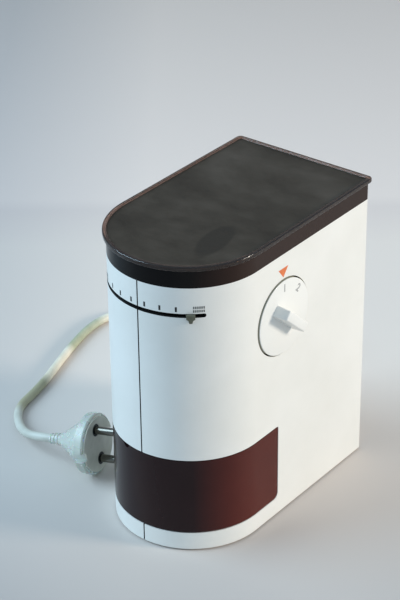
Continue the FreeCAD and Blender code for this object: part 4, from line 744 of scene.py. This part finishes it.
def makeCasing(v):
    shell = bmesh.new()
    ringWall(shell, 0, body["wall"], body["low"], body["high"])
    inside = bmesh.new()
    for top in (v["shelfLedge"], v["deckLedge"], v["coverLedge"]):
        ringWall(inside, body["wall"] / 2, body["wall"] / 2 + v["ledgeReach"],
                 top - v["ledgeRise"], top)
    bossY = body["rear"] - v["bossInset"]
    bossReach = body["half"] - body["wall"] / 2
    for z in v["bossHeights"]:
        rod(inside, v["bossRadius"], (-bossReach, bossY, z), (bossReach, bossY, z))
    for x, y in v["postPlaces"]:
        for side in (-1, 1):
            rod(inside, v["postRadius"], (side * x, y, v["baseTop"]), (side * x, y, v["postTop"]))
    shell = combine(shell, inside, "UNION")

    cuts = bmesh.new()
    prism(cuts, drawerProfile(cuts, drawer, drawer["gap"], -cutEnd), (2 * cutEnd, 0, 0))
    rod(cuts, v["dialHole"], (cutStart, dialY, dialZ), (cutEnd, dialY, dialZ), v["dialSteps"])
    backStart = body["rear"] - body["wall"] - v["ledgeReach"]
    backEnd = body["rear"] + body["overrun"]
    rod(cuts, v["cordRadius"], (v["cordX"], backStart, v["cordZ"]),
        (v["cordX"], backEnd, v["cordZ"]))
    for row in range(v["ventRows"]):
        low = v["ventLow"] + row * v["ventPitch"]
        near, far = v["ventReach"]
        box(cuts, (near, backStart, low), (far, backEnd, low + v["ventHeight"]))
        box(cuts, (-far, backStart, low), (-near, backEnd, low + v["ventHeight"]))
    for z in v["bossHeights"]:
        rod(cuts, v["headRadius"], (-cutEnd, bossY, z), (v["headDepth"] - body["half"], bossY, z))
        rod(cuts, v["screwRadius"], (-cutEnd, bossY, z), (v["screwEnd"], bossY, z), v["smallSteps"])
    shell = combine(shell, cuts, "DIFFERENCE")
    chuteRoom = bmesh.new()
    box(chuteRoom, (-v["chuteHalf"], v["chuteFront"], drawer["high"]),
        (v["chuteHalf"], v["chuteRear"], v["coverLedge"]))
    shell = combine(shell, chuteRoom, "DIFFERENCE")
    slot = bmesh.new()
    slotCutter(slot, v)
    shell = combine(shell, slot, "DIFFERENCE")
    ends = bmesh.new()  # rounded ends for the slot
    for angle in (-slotHalf, slotHalf):
        frontRod(ends, v["slotHeight"] / 2, angle, slotZ, cutStart, v["smallSteps"])
    shell = combine(shell, ends, "DIFFERENCE")

    for name, side in (("casing_right", 1), ("casing_left", -1)):
        half = shell.copy()
        geom = list(half.verts) + list(half.edges) + list(half.faces)
        bmesh.ops.bisect_plane(half, geom=geom, plane_co=(side * v["seam"], 0, 0),
                               plane_no=(side, 0, 0), clear_inner=True, dist=body["merge"])
        openEdges = [edge for edge in half.edges if edge.is_boundary]
        bmesh.ops.edgeloop_fill(half, edges=openEdges)
        outward(half)
        # painted shade: the faces inside the seam and the slot take the black plastic, standing in
        # for the shade in them
        for face in half.faces:
            middle = face.calc_center_median()
            depth = body["half"] - math.hypot(middle.x, middle.y - arcY)
            shadedSlot = (abs(middle.z - slotZ) < v["slotHeight"] / 2 + v["shadeMargin"]
                      and v["shadeMargin"] < depth < body["wall"] - v["shadeMargin"])
            shadedSeam = abs(middle.x) < v["seam"] + v["shadeMargin"] and middle.y < arcY
            face.material_index = int(shadedSlot or shadedSeam)
        keepPiece(half, name + "_shell", "casing", "casing_white", [name], body["bevel"],
                  [finishes["casing_white"], finishes["black_plastic"]])
    shell.free()


makeCasing(casing)
print("casing made")


# hopper: smoked band, tray and funnel
hopper = {
    "low": body["high"],
    "bandTop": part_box("hopper")[1][2],
    "bandWall": 0.0022,
    "trayInset": 0.0028,
    "trayDrop": 0.002,
    "trayRise": 0.0012,
    "trayLap": 0.0005,
    "funnelRadius": 0.040,
    "funnelWall": 0.0016,
    "throatRadius": 0.0095,
    "footDrop": 0.012,
    "throatEnd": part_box("hopper")[0][2],
    "bevel": 0.0004,
}


def makeHopper(v):
    band = bmesh.new()
    ringWall(band, 0, v["bandWall"], v["low"], v["bandTop"])
    tray = bmesh.new()
    trayLow = v["low"] - v["trayDrop"]
    trayTop = v["low"] + v["trayRise"]
    prism(tray, planLoop(tray, v["trayInset"], trayLow), (0, 0, v["trayDrop"]))
    floor = bmesh.new()
    prism(floor, planLoop(floor, v["bandWall"] / 2, v["low"] - v["trayLap"]),
          (0, 0, v["trayRise"] + v["trayLap"]))
    tray = combine(tray, floor, "UNION")
    band = combine(band, tray, "UNION")
    foot = v["low"] - v["footDrop"]
    throatOuter = v["throatRadius"] + v["funnelWall"]
    outside = bmesh.new()
    turnedShape(outside, [(r, arcY, z) for r, z in (
        (0, v["throatEnd"]), (throatOuter, v["throatEnd"]), (throatOuter, foot - v["funnelWall"]),
        (v["funnelRadius"], trayLow), (v["funnelRadius"], trayTop), (0, trayTop))], (0, arcY, 0))
    band = combine(band, outside, "UNION")
    funnelInner = v["funnelRadius"] - v["funnelWall"]
    under, over = v["throatEnd"] - body["overrun"], trayTop + body["overrun"]
    inside = bmesh.new()
    turnedShape(inside, [(r, arcY, z) for r, z in (
        (0, under), (v["throatRadius"], under), (v["throatRadius"], foot),
        (funnelInner, v["low"]), (funnelInner, over), (0, over))], (0, arcY, 0))
    band = combine(band, inside, "DIFFERENCE")
    keepPiece(band, "hopper_tray", "casing", "smoked_plastic", ["hopper"], v["bevel"])


makeHopper(hopper)
print("hopper made")


# lid: a plate with a raised rim and a skirt that drops into the band
lid = {
    "low": hopper["bandTop"],
    "high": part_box("lid")[1][2],
    "overhang": 0.0019,
    "lip": 0.0023,
    "recess": 0.001,
    "corner": 0.003,
    "panelCorner": 0.002,
    "skirtInset": 0.0025,
    "skirtWall": 0.0015,
    "skirtDrop": 0.005,
    "rimRound": 0.0008,
    "rimSteps": 4,
    "lipRound": 0.0003,
}


def flatEdges(bm, z):
    # level edges at a height
    return [edge for edge in bm.edges
            if all(abs(vert.co.z - z) < body["level"] for vert in edge.verts)]


def makeLid(v):
    plate = bmesh.new()
    prism(plate, planLoop(plate, -v["overhang"], v["low"], v["corner"]),
          (0, 0, v["high"] - v["low"]))
    outward(plate)
    for z in (v["low"], v["high"]):
        roundEdges(plate, flatEdges(plate, z), v["rimRound"], v["rimSteps"])
    panelZ = v["high"] - v["recess"]
    hollow = bmesh.new()
    prism(hollow, planLoop(hollow, v["lip"] - v["overhang"], panelZ, v["panelCorner"]),
          (0, 0, body["overrun"]))
    plate = combine(plate, hollow, "DIFFERENCE")
    skirt = bmesh.new()
    ringWall(skirt, v["skirtInset"], v["skirtWall"],
             v["low"] - v["skirtDrop"], v["low"] + v["lipRound"])
    plate = combine(plate, skirt, "UNION")
    for face in plate.faces:
        face.material_index = int(abs(face.calc_center_median().z - panelZ) >= body["level"])
    keepPiece(plate, "lid_cover", "hopper_lid", "lid_plastic", ["lid"], v["lipRound"],
              [finishes["lid_plastic"], lidRim])


makeLid(lid)
print("lid made")


# timer dial: a disc in the flank with a grip bar and figures
dial = {
    "back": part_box("timer_dial")[0][0],
    "face": 0.046,
    "radius": 0.0225,
    "socketRadius": 0.003,
    "socketDepth": 0.0013,
    "gripTurn": 48.2,
    "gripLength": 0.024,
    "gripWidth": 0.007,
    "gripRise": 0.009,
    "gripSink": 0.0012,
    "gripDraft": 3.8,
    "gripRound": 0.0008,
    "gripSteps": 4,
    "discRound": 0.0004,
    "discSteps": 3,
    "rimShare": 0.9,
    "edgeShare": 0.99,
    "shortShare": 0.25,
    "figureRing": 0.0181,
    "figureHeight": 0.0045,
    "figureScale": 1.4,
    "figureBold": 0.00022,
    "figureSink": 0.00003,
    "figureProud": 0.00004,
    "figures": (1, 2),
    "figureStep": 45.0,
}


def makeDial(v):
    disc = bmesh.new()
    depth = v["face"] - v["back"]
    turnedShape(disc, [(0, 0, 0), (v["radius"], 0, 0), (v["radius"], 0, depth), (0, 0, depth)])
    socket = bmesh.new()
    rod(socket, v["socketRadius"], (0, 0, -body["overrun"]), (0, 0, v["socketDepth"]))
    disc = combine(disc, socket, "DIFFERENCE")
    rim = [edge for edge in flatEdges(disc, depth)
           if edge.calc_length() < v["radius"] * v["shortShare"]
           and math.hypot(*edge.verts[0].co.xy) > v["radius"] * v["rimShare"]]
    roundEdges(disc, rim, v["discRound"], v["discSteps"])
    grip = bmesh.new()
    long, wide = v["gripLength"] / 2, v["gripWidth"] / 2
    verts = box(grip, (-long, -wide, depth - v["gripSink"]), (long, wide, depth + v["gripRise"]))
    draw = math.tan(math.radians(v["gripDraft"])) * v["gripRise"]
    top = [vert for vert in verts if vert.co.z > depth]
    bmesh.ops.scale(grip, verts=top, vec=((long - draw) / long, (wide - draw) / wide, 1.0))
    edges = [edge for edge in grip.edges if any(vert.co.z > depth for vert in edge.verts)]
    roundEdges(grip, edges, v["gripRound"], v["gripSteps"])
    disc = combine(disc, grip, "UNION")
    # painted shade: the disc's side wall in the gap round it takes the darker dial edge finish
    for face in disc.faces:
        middle = face.calc_center_median()
        face.material_index = int(math.hypot(*middle.xy) > v["radius"] * v["edgeShare"]
                                  and middle.z < depth - v["discRound"])
    turn = Matrix.Rotation(math.radians(v["gripTurn"]), 4, "X")
    stand = Matrix.Rotation(math.pi / 2, 4, "Y")
    moveAll(disc, Matrix.Translation((v["back"], dialY, dialZ)) @ (turn @ stand))
    keepPiece(disc, "dial_knob", "dial", "dial_white", ["timer_dial"],
              materials=[finishes["dial_white"], finishes["dial_edge"]])


def figureMesh(v, figure):
    # a figure as a flat mesh on the origin, facing up
    curve = bpy.data.curves.new("words", "FONT")
    curve.body = str(figure)
    curve.size = v["figureHeight"] * v["figureScale"]
    curve.offset = v["figureBold"]
    curve.align_x = "CENTER"
    curve.align_y = "CENTER"
    holder = inScene("words", curve)
    graph = bpy.context.evaluated_depsgraph_get()
    mesh = bpy.data.meshes.new_from_object(holder.evaluated_get(graph))
    bpy.data.objects.remove(holder)
    bpy.data.curves.remove(curve)
    return mesh


def makeFigures(v):
    marks = bmesh.new()
    for figure in v["figures"]:
        mesh = figureMesh(v, figure)
        one = bmesh.new()
        one.from_mesh(mesh)
        bpy.data.meshes.remove(mesh)
        bmesh.ops.remove_doubles(one, verts=one.verts, dist=body["merge"])
        thicken(one, one.faces, v["figureSink"] + v["figureProud"])
        outward(one)
        low, high = [[pick(vert.co[axis] for vert in one.verts) for axis in (0, 1)]
                     for pick in (min, max)]
        bmesh.ops.translate(one, verts=one.verts,
                            vec=(-(low[0] + high[0]) / 2, -(low[1] + high[1]) / 2, 0))
        # text faces +X, upright, then moves out to its place on the ring and round the dial
        stand = Matrix.Rotation(math.pi / 2, 4, "Z") @ Matrix.Rotation(math.pi / 2, 4, "X")
        move = Matrix.Translation((v["face"] - v["figureSink"], 0, v["figureRing"])) @ stand
        clockwise = math.radians((1 - figure) * v["figureStep"])
        place = Matrix.Translation((0, dialY, dialZ)) @ Matrix.Rotation(clockwise, 4, "X")
        moveAll(one, place @ move)
        addTo(marks, one)
    keepPiece(marks, "dial_figures", "dial", "dial_white", materials=[printPale])


makeDial(dial)
makeFigures(dial)
print("dial made")


# printed marks on the casing: ticks and grind icons over the slot, and the dial's orange pointer
marks = {
    "sink": 0.00004,
    "proud": 0.00003,
    "tickAngles": (-28.6, -17.15, -5.7, 5.7, 17.15, 28.6),
    "tickWidth": 0.0011,
    "tickLow": 0.0022,
    "tickHigh": 0.0051,
    "iconAngle": 44.05,
    "iconWidth": 0.0066,
    "iconLow": 0.002,
    "iconHigh": 0.0056,
    "rightBars": 6,
    "leftBars": 3,
    "barShare": 0.7,
    "rowShare": 0.42,
    "pointerWidth": 0.009,
    "pointerHeight": 0.0057,
    "pointerGap": 0.001,
}


def roundFront(bm, verts, angle):
    # from the front's middle to an angle on it, at the slot's height
    turn = Matrix.Rotation(math.radians(angle), 4, "Z")
    bmesh.ops.transform(bm, verts=verts, matrix=Matrix.Translation((0, arcY, slotZ)) @ turn)


def frontPatch(bm, v, angle, width, low, high):
    # a thin upright patch on the round front
    verts = box(bm, (-width / 2, -body["half"] - v["proud"], low),
                (width / 2, -body["half"] + v["sink"], high))
    roundFront(bm, verts, angle)


def makeMarks(v):
    ticks = bmesh.new()
    for angle in v["tickAngles"]:
        frontPatch(ticks, v, angle, v["tickWidth"], v["tickLow"], v["tickHigh"])
    keepPiece(ticks, "slot_ticks", "casing", "casing_white", materials=[printBlack])
    icons = bmesh.new()  # two rows of short bars at either end of the slot
    rise = v["iconHigh"] - v["iconLow"]
    for side, bars in ((1, v["rightBars"]), (-1, v["leftBars"])):
        pitch = math.degrees(v["iconWidth"] / bars / body["half"])
        width = v["iconWidth"] / bars * v["barShare"]
        for row in (0, 1):
            low = v["iconLow"] + row * rise * (1 - v["rowShare"])
            for i in range(bars):
                angle = side * v["iconAngle"] + (i - (bars - 1) / 2) * pitch
                frontPatch(icons, v, angle, width, low, low + rise * v["rowShare"])
    keepPiece(icons, "slot_icons", "casing", "casing_white", materials=[printGrey])
    pointer = bmesh.new()
    tip = dialZ + casing["dialHole"] + v["pointerGap"]
    x = body["half"] - v["sink"]
    wide, high = v["pointerWidth"] / 2, tip + v["pointerHeight"]
    edges = chain(pointer, [(x, dialY, tip), (x, dialY + wide, high), (x, dialY - wide, high)],
                  closed=True)[1]
    prism(pointer, edges, (v["sink"] + v["proud"], 0, 0))
    outward(pointer)
    keepPiece(pointer, "dial_pointer", "casing", "casing_white", materials=[printOrange])


makeMarks(marks)
print("marks printed")


# slider tab, a small shield over the slot
slider = {
    "angle": 38.5,
    "apart": 0.0003,
    "thick": 0.0018,
    "half": 0.0024,
    "above": 0.0012,
    "below": 0.0013,
    "stem": 0.0019,
    "stemHalf": 0.0013,
    "point": 0.0037,
    "pointHalf": 0.0008,
    "bevel": 0.00025,
}


def makeSlider(v):
    tab = bmesh.new()
    y = -body["half"] - v["apart"]
    corners = ((-v["half"], v["above"]), (-v["half"], -v["below"]), (-v["stemHalf"], -v["stem"]),
               (-v["pointHalf"], -v["point"]), (v["pointHalf"], -v["point"]),
               (v["stemHalf"], -v["stem"]), (v["half"], -v["below"]), (v["half"], v["above"]))
    edges = chain(tab, [(x, y, z) for x, z in corners], closed=True)[1]
    prism(tab, edges, (0, -v["thick"], 0))
    outward(tab)
    roundFront(tab, tab.verts, v["angle"])
    keepPiece(tab, "slider_shield", "grind_ring", "slider_olive", ["slider_tab"], v["bevel"])


makeSlider(slider)
print("slider made")


# plug: a notched disc with a cone behind it, its own z out of the pins and its y from pin to pin
plug = {
    "place": (-0.0658, -0.0379, 0.019283),
    "heading": 11.7,
    "tilt": 8.9,
    "radius": 0.0185,
    "rim": 0.0065,
    "shoulder": 0.016,
    "neck": 0.004,
    "cone": 0.0235,
    "length": 0.032,
    "tail": 0.0032,
    "rimRound": 0.0009,
    "notch": 0.0146,
    "notchHalf": 0.0027,
    "notchPast": 0.003,
    "faceRadius": 0.0166,
    "faceThick": 0.0008,
    "pinRadius": 0.0024,
    "pinLength": 0.019,
    "pinPitch": 0.019,
    "pinTip": 0.0011,
    "pinSteps": 40,
    "tipSteps": 6,
    "collar": 0.0038,
    "collarThick": 0.0006,
    "collarSteps": 32,
    "groove": 0.0004,
    "grooves": 3,
    "bevel": 0.0004,
    "faceBevel": 0.0002,
}


def plugPlace(v):
    heading, tilt = math.radians(v["heading"]), math.radians(v["tilt"])
    east, north = math.cos(heading), math.sin(heading)
    level, rise = math.cos(tilt), math.sin(tilt)
    out = Vector((level * east, level * north, rise))
    up = Vector((-rise * east, -rise * north, level))
    turn = Matrix((up.cross(out), up, out)).transposed().to_4x4()
    return Matrix.Translation(v["place"]) @ turn


def plugNotches(v):
    notches = bmesh.new()
    for side in (-1, 1):
        near, far = sorted((side * v["notch"], side * (v["radius"] + body["overrun"])))
        box(notches, (near, -v["notchHalf"], -v["rim"] - v["notchPast"]),
            (far, v["notchHalf"], body["overrun"]))
    return notches


def makePlug(v):
    place = plugPlace(v)
    pinPlaces = (-v["pinPitch"] / 2, v["pinPitch"] / 2)
    shell = bmesh.new()
    corners = [(0, -v["length"]), (v["tail"], -v["length"])]
    run = v["length"] - v["cone"]
    for i in range(v["grooves"]):
        start = -v["length"] + run * (2 * i + 1) / (2 * v["grooves"] + 1)
        end = start + run / (2 * v["grooves"] + 1)
        for z, depth in ((start, 0), (start, v["groove"]), (end, v["groove"]), (end, 0)):
            grow = (z + v["length"]) / run
            corners.append((v["tail"] + (v["neck"] - v["tail"]) * grow - depth, z))
    corners += [(v["neck"], -v["cone"]), (v["shoulder"], -v["rim"]),
                (v["radius"] - v["rimRound"], -v["rim"]), (v["radius"], -v["rim"] + v["rimRound"]),
                (v["radius"], -v["rimRound"]), (v["radius"] - v["rimRound"], 0), (0, 0)]
    turnedShape(shell, [(r, 0, z) for r, z in corners])
    shell = combine(shell, plugNotches(v), "DIFFERENCE")
    moveAll(shell, place)
    shellPiece = keepPiece(shell, "plug_shell", "casing", "plug_clear", ["plug_body"], v["bevel"])

    face = bmesh.new()
    turnedShape(face, [(0, 0, 0), (v["faceRadius"], 0, 0), (v["faceRadius"], 0, v["faceThick"]),
                       (0, 0, v["faceThick"])])
    holes = bmesh.new()
    for y in pinPlaces:
        rod(holes, v["collar"], (0, y, -body["overrun"]), (0, y, body["overrun"]), v["collarSteps"])
    face = combine(combine(face, holes, "DIFFERENCE"), plugNotches(v), "DIFFERENCE")
    collars = bmesh.new()
    for y in pinPlaces:
        profile = [(v["pinRadius"], y, 0), (v["collar"], y, 0), (v["collar"], y, v["collarThick"]),
                   (v["pinRadius"], y, v["collarThick"]), (v["pinRadius"], y, 0)]
        turnedShape(collars, profile, (0, y, 0), v["collarSteps"])
    outward(collars)
    moveAll(face, place)
    moveAll(collars, place)
    facePiece = keepPiece(face, "plug_front", "casing", "plug_grey", ["plug_face"], v["faceBevel"])
    collarPiece = keepPiece(collars, "pin_collars", "casing", "black_plastic")

    pins = bmesh.new()
    tip = v["pinLength"] - v["pinTip"]
    for y in pinPlaces:
        one = bmesh.new()
        known = set(one.edges)
        here = stepAlong(one, one.verts.new((0, y, 0)), (v["pinRadius"], 0, 0))
        here = stepAlong(one, here, (0, 0, tip))
        here = turnAbout(one, here, (v["pinRadius"] - v["pinTip"], y, tip), -math.pi / 2,
                         v["tipSteps"], (0, 1, 0))
        stepAlong(one, here, (v["pinTip"] - v["pinRadius"], 0, 0))
        edges = [edge for edge in one.edges if edge not in known]
        bmesh.ops.spin(one, geom=list(one.verts) + edges, cent=(0, y, 0), axis=(0, 0, 1),
                       angle=2 * math.pi, steps=v["pinSteps"], use_merge=True)
        bmesh.ops.remove_doubles(one, verts=one.verts, dist=body["merge"])
        outward(one)
        addTo(pins, one)
    moveAll(pins, place)
    pinPiece = keepPiece(pins, "plug_prongs", "casing", "pin_nickel", ["plug_pins"])
    return [shellPiece, facePiece, collarPiece, pinPiece]


plugPieces = makePlug(plug)
print("plug made")


# stage and light
stage = {
    "floorSize": 3.0,
    "wallApart": 2.4,
    "bend": 0.4,
    "bendSteps": 16,
    "wallHeight": 2.0,
    "tonesFrom": -0.12,
    "tonesTo": 0.80,
    # the backdrop's tones along the depth: the darker front and the darker line at 0.511 are
    # painted shade, for a shadow near the camera and the crease where the table meets the wall
    "tones": (
        (0.0, (0.53, 0.48, 0.45)), (0.15, (0.76, 0.68, 0.62)), (0.45, (0.78, 0.68, 0.61)),
        (0.511, (0.72, 0.62, 0.57)), (0.53, (0.78, 0.67, 0.61)), (1.0, (0.61, 0.525, 0.475))),
    # painted shade: the left side of the backdrop is dimmed and cooled by this factor
    "shadeFrom": -0.18,
    "shadeTo": -0.05,
    "shade": (0.69, 0.74, 0.79),
    "aim": (0.0, 0.0, 0.09),
    "world": (0.56, 0.75, 0.92),
    "worldPower": 0.64,
}
keyLight = {
    "name": "keyLight",
    "place": (2.72, 1.27, 1.05),
    "size": 0.8,
    "power": 69.0,
    "colour": (1.0, 0.905, 0.785),
}
skyLight = {
    "name": "skyLight",
    "place": (-1.6, -1.2, 1.5),
    "size": 2.0,
    "power": 57.0,
    "colour": (0.61, 0.83, 1.0),
}


def makeStage(v):
    # the floor runs back from the camera and bends up into a wall square to the view
    sweep = bmesh.new()
    size = v["floorSize"]
    start = sweep.verts.new((-size, -size, 0))
    here = stepAlong(sweep, start, (0, size + v["wallApart"], 0))
    here = turnAbout(sweep, here, (-size, v["wallApart"], v["bend"]), math.pi / 2,
                     v["bendSteps"], (1, 0, 0))
    stepAlong(sweep, here, (0, 0, v["wallHeight"]))
    extruded = bmesh.ops.extrude_edge_only(sweep, edges=sweep.edges)["geom"]
    bmesh.ops.translate(sweep, verts=picked(extruded, bmesh.types.BMVert), vec=(2 * size, 0, 0))
    azimuth = math.radians(cameraView["azimuth"])
    moveAll(sweep, Matrix.Rotation(azimuth, 4, "Z"))
    outward(sweep)
    piece = inScene("backdrop", asMesh(sweep, "backdrop"))
    piece.data.shade_smooth()
    f = Finish("backdrop")
    f.sockets(Specular_IOR_Level=0.2)
    mapping = f.add("ShaderNodeMapping")
    mapping.inputs["Rotation"].default_value = (0, 0, -azimuth)
    f.join(f.place, mapping.inputs["Vector"])
    split = f.add("ShaderNodeSeparateXYZ")
    f.join(mapping.outputs["Vector"], split.inputs["Vector"])
    deep = f.add("ShaderNodeMath", operation="ADD")
    f.join(split.outputs["Y"], deep.inputs[0])
    f.join(split.outputs["Z"], deep.inputs[1])
    share = f.spread(deep.outputs["Value"], v["tonesFrom"], v["tonesTo"], 0.0, 1.0)
    # painted shade: dimmer, cooler tones on the left side
    dim = [(at, tuple(a * b for a, b in zip(tone, v["shade"]))) for at, tone in v["tones"]]
    side = f.spread(split.outputs["X"], v["shadeFrom"], v["shadeTo"], 0.0, 1.0)
    f.colour(f.mix(side, f.ramp(share, *dim), f.ramp(share, *v["tones"])))
    f.roughness(f.noise(30.0), 0.5, 0.6)
    piece.data.materials.append(f.material)


def areaLight(v, aim):
    data = bpy.data.lights.new(v["name"], "AREA")
    data.shape = "DISK"
    data.size = v["size"]
    data.energy = v["power"]
    data.color = v["colour"]
    lamp = inScene(v["name"], data)
    way = Vector(aim) - Vector(v["place"])
    turn = way.to_track_quat("-Z", "Y").to_matrix().to_4x4()
    lamp.matrix_world = Matrix.Translation(v["place"]) @ turn


def makeWorld(v):
    world = bpy.data.worlds.new("room")
    world.use_nodes = True
    background = world.node_tree.nodes["Background"]
    background.inputs["Color"].default_value = (*v["world"], 1.0)
    background.inputs["Strength"].default_value = v["worldPower"]
    scene.world = world


makeStage(stage)
areaLight(keyLight, stage["aim"])
areaLight(skyLight, stage["aim"])
makeWorld(stage)
print("stage and light set")
